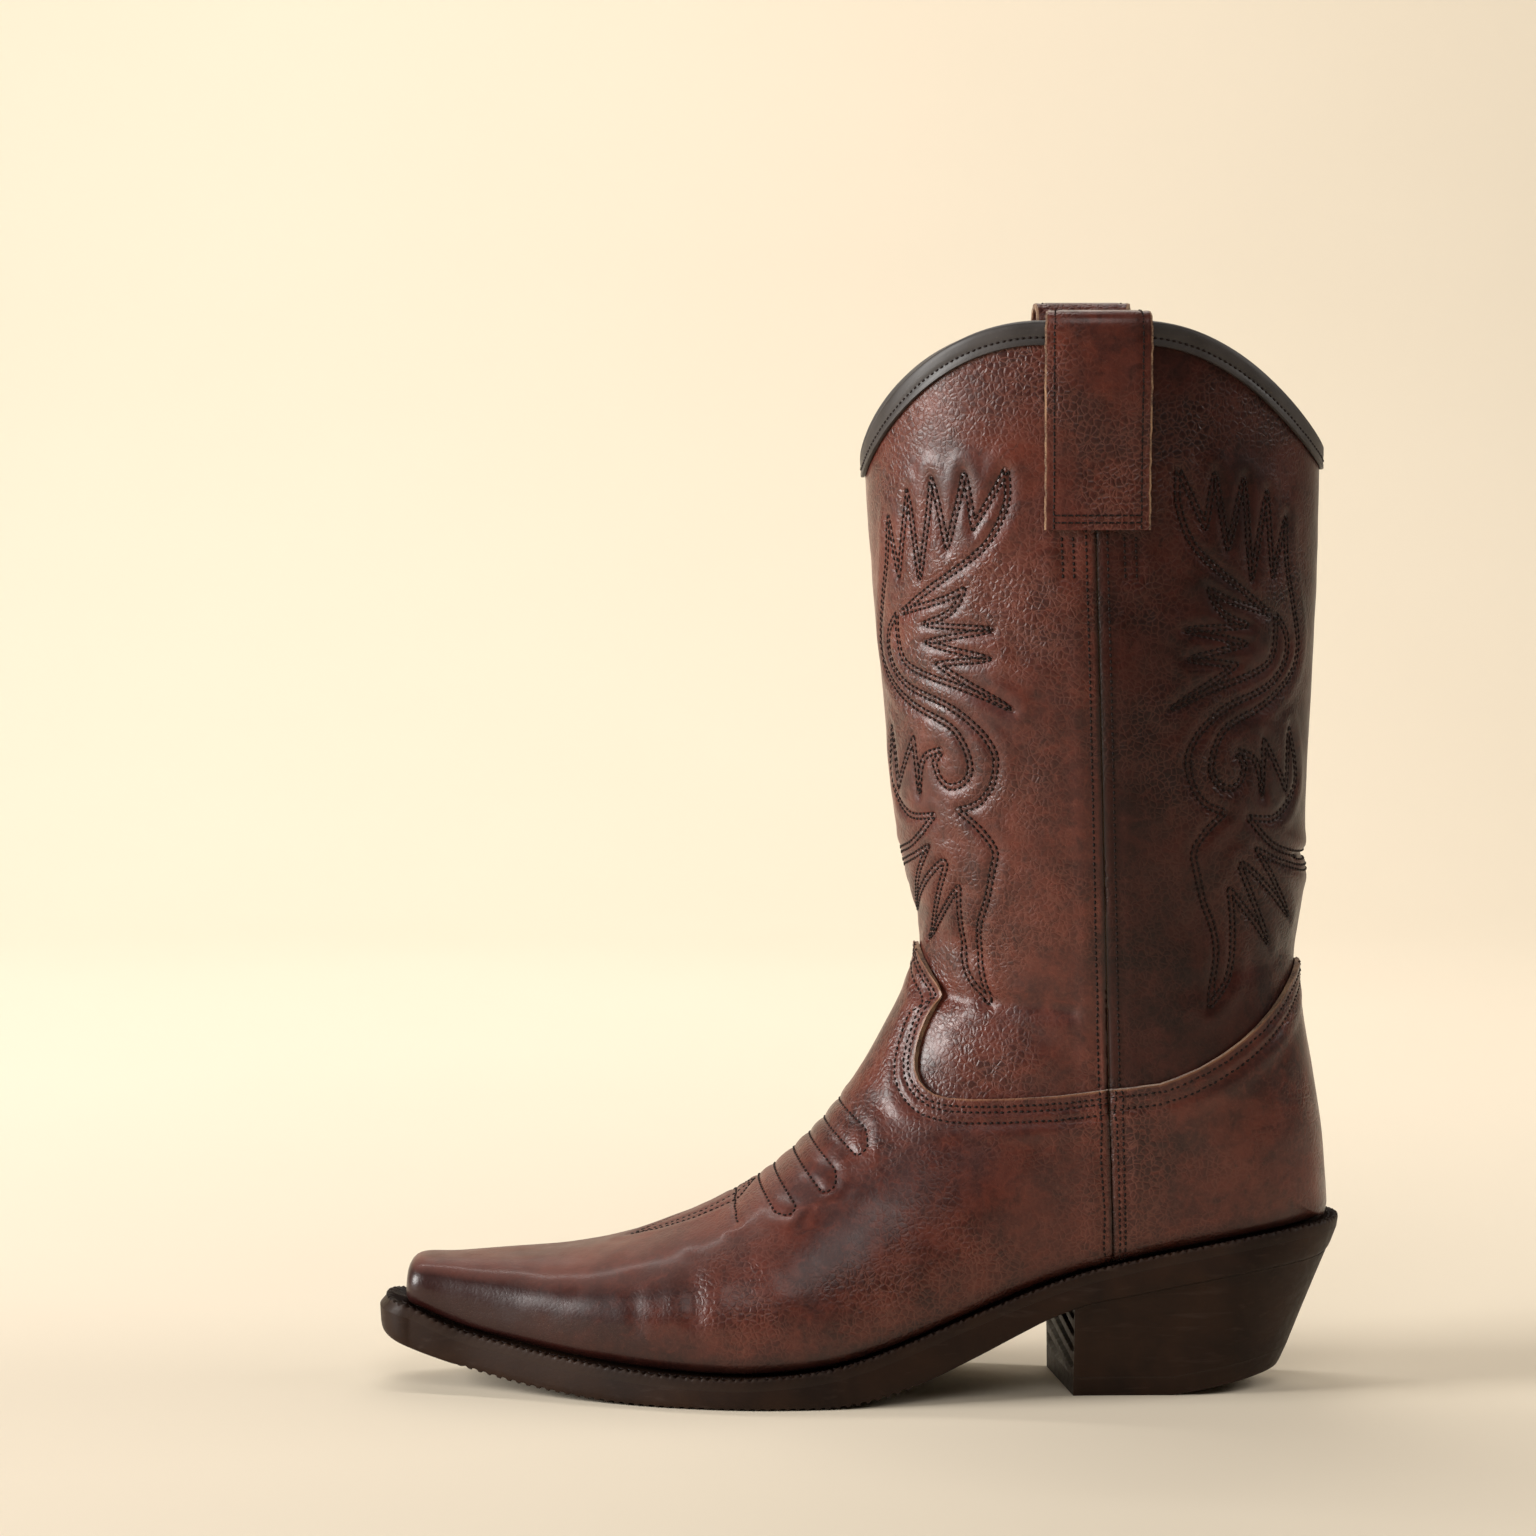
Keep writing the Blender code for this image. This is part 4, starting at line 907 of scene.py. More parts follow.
def worn_relief(points):
    broad = 0.55 * ripple(points, 34, 3.0) + 0.22 * ripple(points, 11, 8.0)
    return (broad + crease_height(points)) * calm(points)


# ---- The upper's pieces ----

VAMP_TOP_Z = 159.0  # the vamp's outline in front of the tongue
SEAM_LOW, SEAM_HIGH = 30.0, 331.0  # how far the side seam's line is drawn
VAMP_ROWS_END, COUNTER_ROWS_END, SHAFT_ROWS_START = 20.4, 23, 11.4  # stations just past each leather's edge

Looks = namedtuple("Looks", "leather shaft back raw binding lining thread rubber")


def even_rows(first, last, step):
    """A function that gives stations at about an even spacing, the same for every column."""
    ts = np.linspace(first, last, 800)
    lengths = np.zeros(len(ts) - 1)
    for v in (0.0, 0.5, 0.95):
        lengths = np.maximum(lengths, np.linalg.norm(np.diff(upper_point(ts, v), axis=0), axis=1))
    lengths = np.concatenate([[0], np.cumsum(lengths)])
    count = int(lengths[-1] / step) + 2
    rows = np.interp(np.linspace(0, lengths[-1], count), lengths, ts)
    if first < SEAM_FOOT_STATION < last:
        rows = np.sort(np.append(rows, SEAM_FOOT_STATION))
    return lambda columns: rows[:, None] * np.ones(len(columns))


def up_to_top(first, step):
    """A function that gives rows from a station up to the scalloped edge, for some columns."""
    low = even_rows(first, LEVEL_STATION - 2, step)
    count = int(100 / step)
    shares = np.arange(1, count + 1)[:, None] / count

    def rows_at(columns):
        top = np.array([shaft_station(top_height(v), v) for v in columns])
        return np.vstack([low(columns), LEVEL_STATION - 2 + shares * (top - LEVEL_STATION + 2)])
    return rows_at


def seam_foot_station():
    """The station whose section ends where the side seam meets the seat line."""
    ts = np.linspace(8, HEEL_STATION - 1, 2000)
    ends = upper_point(ts, -1)
    return float(np.interp(0, ends[:, 0] - seam_at(ends[:, 2])[0], ts))


SEAM_FOOT_STATION = seam_foot_station()


def seam_line(shift, low=SEAM_LOW, high=SEAM_HIGH):
    return [seam_at(high, shift), seam_at(low, shift)]


def moved_rows(lines, gaps):
    """Rows beside cut lines of both sides. Positive gaps lie to the front and below."""
    rows = []
    for side, places in zip((-1, 1), lines):
        for gap in gaps:
            rows.append(thin_loops(parallel(places[::3], side * gap)))
    return rows


def add_vamp(looks):
    ahead = -GAP / 2
    edge = [*rounded(TONGUE), *rounded(THROAT), seam_at(SEAM_CROSSING_Z, ahead)]
    outline = [(FRONT_X, VAMP_TOP_Z), *edge, seam_at(FLOOR_Z, ahead), (FRONT_X, FLOOR_Z)]
    throat = both_sides(edge)
    seam = both_sides(seam_line(ahead, high=SEAM_CROSSING_Z))
    rows = moved_rows(throat, THROAT_ROWS) + moved_rows(seam, VAMP_SEAM_ROWS) + instep_rows()
    grid = seam_grid(even_rows(0, VAMP_ROWS_END, 1.2), -1, ahead, 92)
    leather = add_leather("worn_vamp", grid, OUTER_LEATHER, outline, throat, seam, (looks.leather, looks.raw),
                          worn_relief, rows, fold_height=0.15, at_welt=True)
    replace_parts(leather.obj, "vamp")
    add_stitching("vamp_stitching", rows, leather, looks.thread)


def add_counter(looks):
    behind = GAP / 2
    edge = [seam_at(SEAM_CROSSING_Z, behind), *rounded(COUNTER_TOP)]
    outline = [seam_at(FLOOR_Z, behind), *edge, (BACK_X, COUNTER_TOP[-1][1]), (BACK_X, FLOOR_Z)]
    top = both_sides(edge)
    seam = both_sides(seam_line(behind, high=SEAM_CROSSING_Z))
    rows = moved_rows(top, COUNTER_ROWS) + moved_rows(seam, COUNTER_SEAM_ROWS)
    grid = seam_grid(even_rows(SEAM_FOOT_STATION, COUNTER_ROWS_END, 1.05), 1, behind, 92)
    leather = add_leather("worn_heel_counter", grid, OUTER_LEATHER, outline, top, seam,
                          (looks.leather, looks.raw), worn_relief, rows, fold_height=0.4,
                          at_welt=True)
    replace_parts(leather.obj, "heel_counter")
    add_stitching("counter_stitching", rows, leather, looks.thread)


def shaft_outline(panel, shift):
    """The outline of the front or the back panel, with its lap under the vamp or the counter."""
    top, foot = seam_at(CEILING_Z, shift), seam_at(LAP_CROSSING_Z, shift)
    if panel < 0:
        return [(FRONT_X, FRONT_LAP[0][1]), *rounded(FRONT_LAP), foot, top, (FRONT_X, CEILING_Z)]
    return [top, foot, *rounded(BACK_LAP), (BACK_X, BACK_LAP[-1][1]), (BACK_X, CEILING_Z)]


def add_shaft_panel(looks, panel, flats):
    """The front panel (-1) or the back panel (+1) of the shaft, with its ornament."""
    name, face, seam_gaps, fold_height = {
        -1: ("front_shaft", looks.shaft, FRONT_SEAM_ROWS, 0.2),
        1: ("back_shaft", looks.back, BACK_SEAM_ROWS, 0.5),
    }[panel]
    shift = panel * GAP / 2
    seam = both_sides(seam_line(shift, LAP_CROSSING_Z))
    rows = moved_rows(seam, seam_gaps)
    rows += [row for flat in flats for row in ornament_rows(flat, panel) + tack_rows(flat, panel)]
    centres = [row for flat in flats for row in ornament_centres(flat, panel)]
    grid = seam_grid(up_to_top(SHAFT_ROWS_START, 1.15), panel, shift, 100)
    leather = add_leather(f"worn_{name}_panel", grid, SHAFT_LEATHER, shaft_outline(panel, shift), [], seam,
                          (face, looks.raw), worn_relief, rows, centres, fold_height)
    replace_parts(leather.obj, name + "_panel")
    add_stitching(name + "_stitching", rows, leather, looks.thread)


def add_linings(looks):
    """The linings, on a coarser grid of their own, closed at the top under the binding."""
    ahead, behind = -GAP / 2, GAP / 2
    split = [*LINING_SPLIT, seam_at(LINING_SPLIT_SEAM_Z, ahead)]
    below = [(x, z - GAP) for x, z in split]
    front_z = LINING_SPLIT[0][1]
    front = [(FRONT_X, front_z + GAP), *split, seam_at(CEILING_Z, ahead), (FRONT_X, CEILING_Z)]
    back = [seam_at(FLOOR_Z, behind), seam_at(CEILING_Z, behind), (BACK_X, CEILING_Z), (BACK_X, FLOOR_Z)]
    vamp = [(FRONT_X, front_z), *below, seam_at(FLOOR_Z, ahead), (FRONT_X, FLOOR_Z)]
    pieces = {"front_shaft_lining": (up_to_top(7.2, 2.5), -1, front, both_sides(split)),
              "back_shaft_lining": (up_to_top(SEAM_FOOT_STATION, 2.5), 1, back, []),
              "vamp_lining": (even_rows(3.6, 16, 2.5), -1, vamp, both_sides(below))}
    for name, (rows_at, panel, outline, cut_lines) in pieces.items():
        grid = seam_grid(rows_at, panel, panel * GAP / 2, 44)
        seam = both_sides(seam_line(panel * GAP / 2, 20))
        leather = add_leather("soft_" + name, grid, LINING, outline, cut_lines, seam,
                              (looks.lining, looks.lining), lining_relief)
        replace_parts(leather.obj, name)


def lining_relief(points):
    return 0.35 * ripple(points, 26, 5.0) * calm(points)


BINDING_COLUMNS, BINDING_ARCH = 420, 9
BINDING_ROW = 0.62  # place of the stitch row, as a share of the depth
LEG_SHARES = (1.0, 0.97, 0.85, 0.7, BINDING_ROW, 0.54, 0.35, 0.15)


def binding_section():
    """(offset from the surface, height over the edge) round the binding, outer leg first."""
    out, in_ = SHAFT_LEATHER[1] + GAP, LINING[0] - GAP
    thick, depth = BINDING_THICK, BINDING_DEPTH
    middle, reach = (out + in_) / 2, (out - in_) / 2 + thick
    dip = {BINDING_ROW: 0.32, 0.7: 0.12, 0.54: 0.12, 1.0: 0.35}  # the stitch row pulls the strip in
    outer = [(out + thick - dip.get(s, 0), -depth * s) for s in LEG_SHARES]
    arch = [(middle + reach * np.cos(a), 0.1 + (GAP + thick - 0.1) * np.sin(a))
            for a in np.linspace(0, np.pi, BINDING_ARCH)]
    inner = [(in_ - thick, -depth * s) for s in LEG_SHARES[::-1]]
    back = [(in_, -depth), (in_, GAP), (out, GAP), (out, -depth)]
    return [*outer, *arch, *inner, *back]


def add_binding(looks):
    section = binding_section()
    columns = np.linspace(-1, 1, BINDING_COLUMNS + 1)[:-1]
    stations = np.array([shaft_station(top_height(v), v) for v in columns])
    edge, normal = upper_point(stations, columns), upper_normal(stations, columns)
    tangent = np.roll(edge, -1, 0) - np.roll(edge, 1, 0)
    rise = np.cross(normal, tangent)
    rise *= np.sign(rise[:, 2:]) / np.linalg.norm(rise, axis=1, keepdims=True)
    uneven = 0.12 * ripple(edge, 9, 2.0)
    rows = []
    for offset, height in section:
        if height > 0:
            rows.append(edge + offset * normal + height * rise)
        else:
            lower = top_height(columns) + height / np.maximum(rise[:, 2], 0.55)
            stations = np.array([shaft_station(z, v) for z, v in zip(lower, columns)])
            swell = uneven if offset > 0 else 0 * uneven
            points = upper_point(stations, columns)
            rows.append(points + (offset + swell)[:, None] * upper_normal(stations, columns))
    numbers = np.arange(len(section) * BINDING_COLUMNS).reshape(len(section), -1)
    faces = quads(numbers, wrap_rows=True, wrap_columns=True)
    obj = new_piece("rolled_top_binding", np.concatenate(rows), faces, looks.binding, 1.0)
    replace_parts(weld(obj, 0.001), "top_binding")
    row_number = LEG_SHARES.index(BINDING_ROW)
    row = np.vstack([rows[row_number], rows[row_number][:1]])
    tree = sheet_tree(np.concatenate(rows), faces)
    add_stitching("binding_stitching", [row], Leather(obj, tree), looks.thread)


STRAP_STEP, STRAP_COLUMNS = 1.1, 30
STRAP_ROW_INSET, STRAP_FOOT_ROWS = 2.4, (2.3, 5.0)
STRAP_EDGE_DROP, STRAP_DENT, STRAP_WANDER = 0.35, 0.35, 0.35  # rounded edges, sunk rows, uneven cut
STRAP_RAW_SHARE = 0.965  # the pale cut edge shows beyond this share of the half-width


def strap_points(which, side, path, reach):
    """The strap's points, one ring of them for each point of its path: outer face, then inner face."""
    direction = np.gradient(path, axis=0)
    direction /= np.linalg.norm(direction, axis=1, keepdims=True)
    from_edge = (1 - np.abs(reach)) * STRAP_HALF_WIDTH
    half = STRAP_THICK / 2 - STRAP_EDGE_DROP * np.clip(1 - from_edge / 1.5, 0, 1) ** 2
    dent = STRAP_DENT * np.exp(-(((from_edge - STRAP_ROW_INSET) / 0.9) ** 2))
    rise = np.concatenate([half - dent, -half])
    wander = np.array([STRAP_WANDER * noise.noise(Vector((k * 0.45, side, 0))) for k in range(len(path))])
    x = STRAP_CENTRES[which] + np.concatenate([reach, reach[::-1]]) * (STRAP_HALF_WIDTH + wander[:, None])
    offset = path[:, :1] + rise * direction[:, 1:]
    z = path[:, 1:] - rise * direction[:, :1]
    t, v = locate(x.ravel(), z.ravel(), side)
    return layer_point(t, v, offset.ravel()).reshape(*x.shape, 3)


def strap_faces(numbers):
    """Faces round the strap and over its two ends, and which of them are cut edges."""
    sides = quads(numbers, wrap_columns=True)
    cut = np.zeros((len(numbers) - 1, 2 * STRAP_COLUMNS), bool)
    cut[:, [0, STRAP_COLUMNS - 2, STRAP_COLUMNS - 1, 2 * STRAP_COLUMNS - 1]] = True
    ends = [quads(np.stack([row[:STRAP_COLUMNS], row[: STRAP_COLUMNS - 1 : -1]]))[:, ::order]
            for row, order in ((numbers[0], 1), (numbers[-1], -1))]
    ends = np.concatenate(ends)
    return sides, ends, np.concatenate([cut.ravel(), np.ones(len(ends), bool)]).astype(np.int32)


def add_pull_strap(looks, which, side):
    """A leather loop, sewn down outside and inside the shaft, with raw edges."""
    path = resample(strap_path(STRAP_TOPS[which]), STRAP_STEP)
    reach = np.linspace(-STRAP_RAW_SHARE, STRAP_RAW_SHARE, STRAP_COLUMNS - 2)
    reach = np.concatenate([[-1], reach, [1]])
    grid = strap_points(which, side, path, reach)
    points = grid.reshape(-1, 3)
    sides, ends, cut = strap_faces(np.arange(len(points)).reshape(grid.shape[:2]))
    faces = np.concatenate([sides, ends])
    obj = new_piece(which + "_loop_strap", points, faces, looks.shaft)
    obj.data.materials.append(looks.raw)
    obj.data.polygons.foreach_set("material_index", cut)
    weld(obj).data.set_sharp_from_angle(angle=0.9)
    from_edge = (1 - np.abs(reach)) * STRAP_HALF_WIDTH
    set_mask(obj, np.tile(np.concatenate([from_edge, from_edge[::-1]]), len(path)))
    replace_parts(obj, which + "_pull_strap")
    row_reach = 1 - STRAP_ROW_INSET / STRAP_HALF_WIDTH
    first, last = (np.abs(reach - s * row_reach).argmin() for s in (-1, 1))
    rows = [grid[: len(path) // 2 + 4, column] for column in (first, last)]
    rows += [grid[int(height / STRAP_STEP), first : last + 1] for height in STRAP_FOOT_ROWS]
    leather = Leather(obj, sheet_tree(points, sides))
    add_stitching(which + "_strap_stitching", rows, leather, looks.thread)


# ---- The bottom ----

EDGE_STEP = 0.42  # spacing of the points round the bottom pieces
RIDGE_PITCH, RIDGE_HEIGHT = 1.7, 0.34
TREAD_PITCH, TREAD_DEPTH, TREAD_SPAN, TREAD_FADE = 3.1, 0.9, (-128.0, 20.0), 8.0
FEATHER_PITCH, FEATHER_DEPTH = 2.6, 0.3  # notches along the welt's inner lip


def edge_shares(ends, step=EDGE_STEP):
    """Shares from 0 at the toe to 1 at the heel that space points evenly along the welt's outer edge."""
    u = np.linspace(0, 1, 6000)
    start, end = TOE_X - ends[0], HEEL_X + ends[1]
    xs = start + (end - start) * (1 - np.cos(np.pi * u)) / 2
    line = edge_line(xs, along(SEAT, xs), LEDGE, ends, -1)
    lengths = np.concatenate([[0], np.cumsum(np.linalg.norm(np.diff(line, axis=0), axis=1))])
    return np.interp(np.linspace(0, lengths[-1], int(lengths[-1] / step)), lengths, u), lengths[-1]


def edge_line(xs, z, margin, ends, side):
    margins = np.interp(xs, *np.array(margin, float).T) if isinstance(margin, list) else margin
    line = SEAT_LATERAL if side < 0 else SEAT_MEDIAL
    return np.stack([xs, side * half_width(xs, line, margins, *ends) + swing(xs), z + 0 * xs], 1)


def loop_at(shares, depth, margin, ends, height_of=None):
    """A closed loop round the boot's bottom: the outer side from toe to heel, then the inner side back."""
    start, end = TOE_X - ends[0], HEEL_X + ends[1]
    xs = start + (end - start) * (1 - np.cos(np.pi * shares)) / 2
    z = (height_of or (lambda x: along(SEAT, x)))(xs) - depth
    outer, inner = (edge_line(xs, z, margin, ends, side) for side in (-1, 1))
    return np.concatenate([outer, inner[-2:0:-1]])


def scaled_ledge(share):
    return [(x, width * share) for x, width in LEDGE]


def add_welt(looks):
    """A ribbed strip round the upper, with a notched lip along its outer edge."""
    shares, length = edge_shares(WELT_ENDS)
    count = 2 * len(shares) - 2
    arc = np.arange(count) * 2 * length / count
    top, foot = WELT_DROP, WELT_DROP + WELT_THICK + 2 * GAP - 0.03
    low = top + 0.55
    sections = [  # (depth under the seat line, share of the ledge, rib height)
        (foot, 1.0, 0), (top + 1.1, 1.0, 0), (top + 0.25, 0.98, 0), (top, 0.9, 0.4), (top + 0.1, 0.8, 0.8),
        (low - 0.1, 0.66, 1), (low, 0.5, 1), (low, 0.34, 1), (low, 0.2, 0.8), (low, 0.08, 0.4), (low, 0.0, 0),
    ]
    loops = []
    notch = np.clip(np.sin(arc * 2 * np.pi / FEATHER_PITCH) * 1.6, -1, 1)
    rib = np.sin(arc * 2 * np.pi / RIDGE_PITCH)
    for depth, share, ribs in sections:
        ends = SOLE_ENDS if depth == foot else (WELT_ENDS[0] * share, WELT_ENDS[1] * share)
        loop = loop_at(shares, depth, scaled_ledge(share), ends)
        loop[:, 2] += ribs * RIDGE_HEIGHT * rib
        if share in (0.98, 0.9):
            loop[:, 2] += FEATHER_DEPTH * notch
        loops.append(loop)
    inset = (-WELT_INSET, -WELT_INSET)
    for depth in (top, foot):
        loops.append(loop_at(shares, depth, -WELT_INSET, inset))
    numbers = np.arange(len(loops) * count).reshape(len(loops), count)
    points, faces = np.concatenate(loops), quads(numbers, True, True)
    obj = new_piece("ribbed_welt", points, faces, looks.rubber)
    weld(obj, 0.001).data.set_sharp_from_angle(angle=1.0)
    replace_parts(obj, "welt")
    row = loop_at(shares, top - 0.2, scaled_ledge(0.5), (WELT_ENDS[0] * 0.5, WELT_ENDS[1] * 0.5))
    row = row[len(row) // 60 : -(len(row) // 60)]
    tree = sheet_tree(points, faces)
    add_stitching("welt_stitching", [row], Leather(obj, tree), looks.thread, pitch=3.4, radius=0.42)


def tread(xs):
    """Height of the grooves across the forefoot's underside."""
    inside_span = (smooth_step((xs - TREAD_SPAN[0]) / TREAD_FADE)
                   * smooth_step((TREAD_SPAN[1] - xs) / TREAD_FADE))
    wave = np.sin(xs * 2 * np.pi / TREAD_PITCH)
    return TREAD_DEPTH * inside_span * np.clip(0.5 + 1.6 * wave, 0, 1)


SOLE_STEP, FLOOR_ROWS = 0.62, 13
SOLE_WALL = [  # (share of the way down, how far it bulges)
    (0, 0), (0.03, 0.02), (0.35, 0.15), (0.65, 0.25), (0.84, 0.15), (0.93, -0.1), (0.98, -0.45), (1.0, -1.1),
]
ROLL_START = 0.9  # the tread's grooves run up the walls from here


def sole_loop(shares, down, out):
    """A loop round the outsole at a share of its wall's height."""
    seat_depth = WELT_DROP + WELT_THICK + 2 * GAP
    ends = tuple(a + (b - a) * down + out for a, b in zip(SOLE_ENDS, TREAD_ENDS))
    ledge = [(x, width + out) for x, width in LEDGE]

    def height(x):
        top = along(SEAT, x) - seat_depth
        return top + (sole_foot(x) - top) * down

    loop = loop_at(shares, 0, ledge, ends, height)
    if down > ROLL_START:
        loop[:, 2] += tread(loop[:, 0]) * (down - ROLL_START) * 10
    return loop


def halves(loop, half):
    """The outer and the inner side of a loop or of its point numbers, both from toe to heel."""
    return loop[:half], np.concatenate([loop[:1], loop[half - 1 :][::-1]])[:half]


def add_outsole(looks):
    """The outsole: sloping walls that roll under, and a grooved tread."""
    shares, _ = edge_shares(SOLE_ENDS, SOLE_STEP)
    half = len(shares)
    loops = [sole_loop(shares, down, out) for down, out in SOLE_WALL]
    lateral, medial = halves(loops[-1], half)
    floor_rows = [lateral + (medial - lateral) * s for s in np.linspace(0, 1, FLOOR_ROWS + 2)[1:-1]]
    numbers = np.arange(len(loops) * len(loops[0])).reshape(len(loops), -1)
    outer, inner = halves(numbers[-1], half)
    low = [outer, *(numbers.size + np.arange(FLOOR_ROWS * half).reshape(FLOOR_ROWS, half)), inner]
    faces = [quads(numbers[::-1], wrap_columns=True), quads(np.stack(low)),
             quads(np.stack(halves(numbers[0], half)[::-1]))]
    obj = new_piece("moulded_outsole", np.concatenate([*loops, *floor_rows]), np.concatenate(faces),
                    looks.rubber)
    weld(obj, 0.004).data.set_sharp_from_angle(angle=0.8)
    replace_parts(obj, "outsole")


HEEL_LEVELS, HEEL_AROUND, BREAST_COLUMNS = 44, 56, 84
BREAST_PITCH, BREAST_DEPTH, BREAST_LEAN = 5.6, 1.3, 0.12  # the slanting grooves in the heel's breast


def heel_ring(share, z_of, level):
    """A closed ring round the heel: the outer side, the back, the inner side, and back along the breast."""
    lateral, medial = heel_outline(share)
    for edge in (lateral, medial):
        edge[:, 2] = z_of(edge[:, 0])
    ring = np.vstack([lateral, medial[-2::-1]])
    start, end = ring[-1], ring[0]
    shares = np.linspace(0, 1, BREAST_COLUMNS + 2)[1:-1]
    breast = start + (end - start) * shares[:, None]
    lean = breast[:, 2] - BREAST_LEAN * breast[:, 1]
    groove = np.clip(1.8 * np.sin(lean * 2 * np.pi / BREAST_PITCH), 0, 1)
    margin = smooth_step(np.minimum(shares, 1 - shares) * 8) * level
    breast[:, 0] += BREAST_DEPTH * groove * margin
    return np.vstack([ring, breast])


def heel_solid(name, rings, looks):
    numbers = np.arange(len(rings) * len(rings[0])).reshape(len(rings), -1)
    faces = quads(numbers, wrap_columns=True).tolist()
    count = 2 * HEEL_AROUND - 1
    for row, order in ((numbers[0], 1), (numbers[-1], -1)):
        lateral, medial = row[:HEEL_AROUND], row[HEEL_AROUND - 1 : count][::-1]
        faces += quads(np.stack([lateral, medial]))[:, ::order].tolist()
        faces.append([*row[count - 1 :].tolist(), int(row[0])][::order])
    points = np.concatenate(rings)
    obj = new_piece(name, points, faces, looks.rubber)
    weld(obj, 0.01).data.set_sharp_from_angle(angle=0.7)
    return obj


def add_heel(looks):
    rings = []
    for level in np.linspace(0, 1, HEEL_LEVELS):
        def height(x, level=level):
            top, low = sole_foot(x) - 0.05, LIFT_THICK + 0.05 + worn(x)
            return top + (low - top) * level
        rings.append(heel_ring(level * LIFT_SHARE, height, min(level * 6, 1) * min((1 - level) * 12, 1)))
    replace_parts(heel_solid("moulded_heel_block", rings, looks), "heel_block")
    rings = []
    for level in np.linspace(0, 1, 8):
        def height(x, level=level):
            return (LIFT_THICK * (1 - level)) + worn(x)
        round_off = 0.012 * max(level - 0.85, 0) / 0.15
        rings.append(heel_ring(LIFT_SHARE + (1 - LIFT_SHARE) * level + round_off, height, 0))
    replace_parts(heel_solid("worn_top_lift", rings, looks), "heel_top_lift")


# ---- Materials ----


def node(tree, kind, inputs=None, **settings):
    """A shader node with its settings, and its inputs as values or as links from other sockets."""
    made = tree.nodes.new(kind)
    for key, value in settings.items():
        setattr(made, key, value)
    for key, value in (inputs or {}).items():
        if isinstance(value, bpy.types.NodeSocket):
            tree.links.new(value, made.inputs[key])
        else:
            made.inputs[key].default_value = value
    return made


def mix_colour(tree, factor, first, second):
    def colour(value):
        return value if isinstance(value, bpy.types.NodeSocket) else (*value, 1)
    inputs = {0: factor, 6: colour(first), 7: colour(second)}
    return node(tree, "ShaderNodeMix", inputs, data_type="RGBA").outputs[2]


def maths(tree, operation, first, second=0.0):
    return node(tree, "ShaderNodeMath", {0: first, 1: second}, operation=operation).outputs[0]


def texture(tree, coords, scale, detail=3.0, distortion=0.0):
    inputs = {"Vector": coords, "Scale": scale, "Detail": detail, "Distortion": distortion, "Roughness": 0.55}
    return node(tree, "ShaderNodeTexNoise", inputs).outputs["Fac"]


def cells(tree, coords, scale, feature="DISTANCE_TO_EDGE"):
    inputs = {"Vector": coords, "Scale": scale}
    return node(tree, "ShaderNodeTexVoronoi", inputs, feature=feature).outputs["Distance"]


def remap(tree, value, low, high, to_low=0.0, to_high=1.0):
    inputs = {0: value, 1: low, 2: high, 3: to_low, 4: to_high}
    return node(tree, "ShaderNodeMapRange", inputs, clamp=True).outputs[0]


def bump(tree, height, distance, strength=1.0, under=None):
    inputs = {"Height": height, "Distance": distance, "Strength": strength}
    if under is not None:
        inputs["Normal"] = under
    return node(tree, "ShaderNodeBump", inputs).outputs["Normal"]


def start_look(name):
    look = bpy.data.materials.new(name)
    look.use_nodes = True
    tree = look.node_tree
    shader = tree.nodes["Principled BSDF"]
    coords = node(tree, "ShaderNodeTexCoord").outputs["Object"]
    return look, tree, shader, coords


def warped(tree, coords):
    """Coordinates with a small wandering shift, so that cells lose their even shapes."""
    made = node(tree, "ShaderNodeTexNoise", {"Vector": coords, "Scale": 300.0, "Detail": 2.0})
    inputs = {0: made.outputs["Color"], "Scale": WARP_REACH}
    shift = node(tree, "ShaderNodeVectorMath", inputs, operation="SCALE").outputs[0]
    return node(tree, "ShaderNodeVectorMath", {0: coords, 1: shift}, operation="ADD").outputs[0]


def connect(tree, shader, colour, roughness, normal):
    tree.links.new(colour, shader.inputs["Base Color"])
    tree.links.new(roughness, shader.inputs["Roughness"])
    tree.links.new(normal, shader.inputs["Normal"])


LeatherColours = namedtuple("LeatherColours", "dark middle red pale edge")
BOOT_BROWN = LeatherColours((0.022, 0.0044, 0.0034), (0.070, 0.0134, 0.0092), (0.140, 0.029, 0.0165),
                            (0.200, 0.070, 0.048), (0.300, 0.140, 0.070))
BACK_BROWN = LeatherColours((0.0100, 0.0020, 0.0017), (0.024, 0.0046, 0.0034), (0.058, 0.0115, 0.0075),
                            (0.095, 0.034, 0.024), (0.300, 0.140, 0.070))
# near-black brown of the painted shade along the welt and the folded seams
PAINTED_SHADE = (0.009, 0.004, 0.003)
FIGURE_SCALE, BLOOM_SCALE, MOTTLE_SCALE, STREAK_SCALE, GRAIN_SCALE = 13.0, 22.1, 48.0, 230.0, 700.0
PORE_SCALE, WRINKLE_SCALE, WARP_REACH = 520.0, 170.0, 0.0022
TOE_BOX_END, TOE_BOX_FADE = -0.075, 0.05  # the leather is smooth ahead of here, over the toe puff
BURNISH = (-0.11, -0.035)  # the toe's sides are polished darker
DUST_AND_TOP_LIGHT = (-0.03, -0.01)  # dust and a painted highlight lie on the forefoot's top, ahead of here
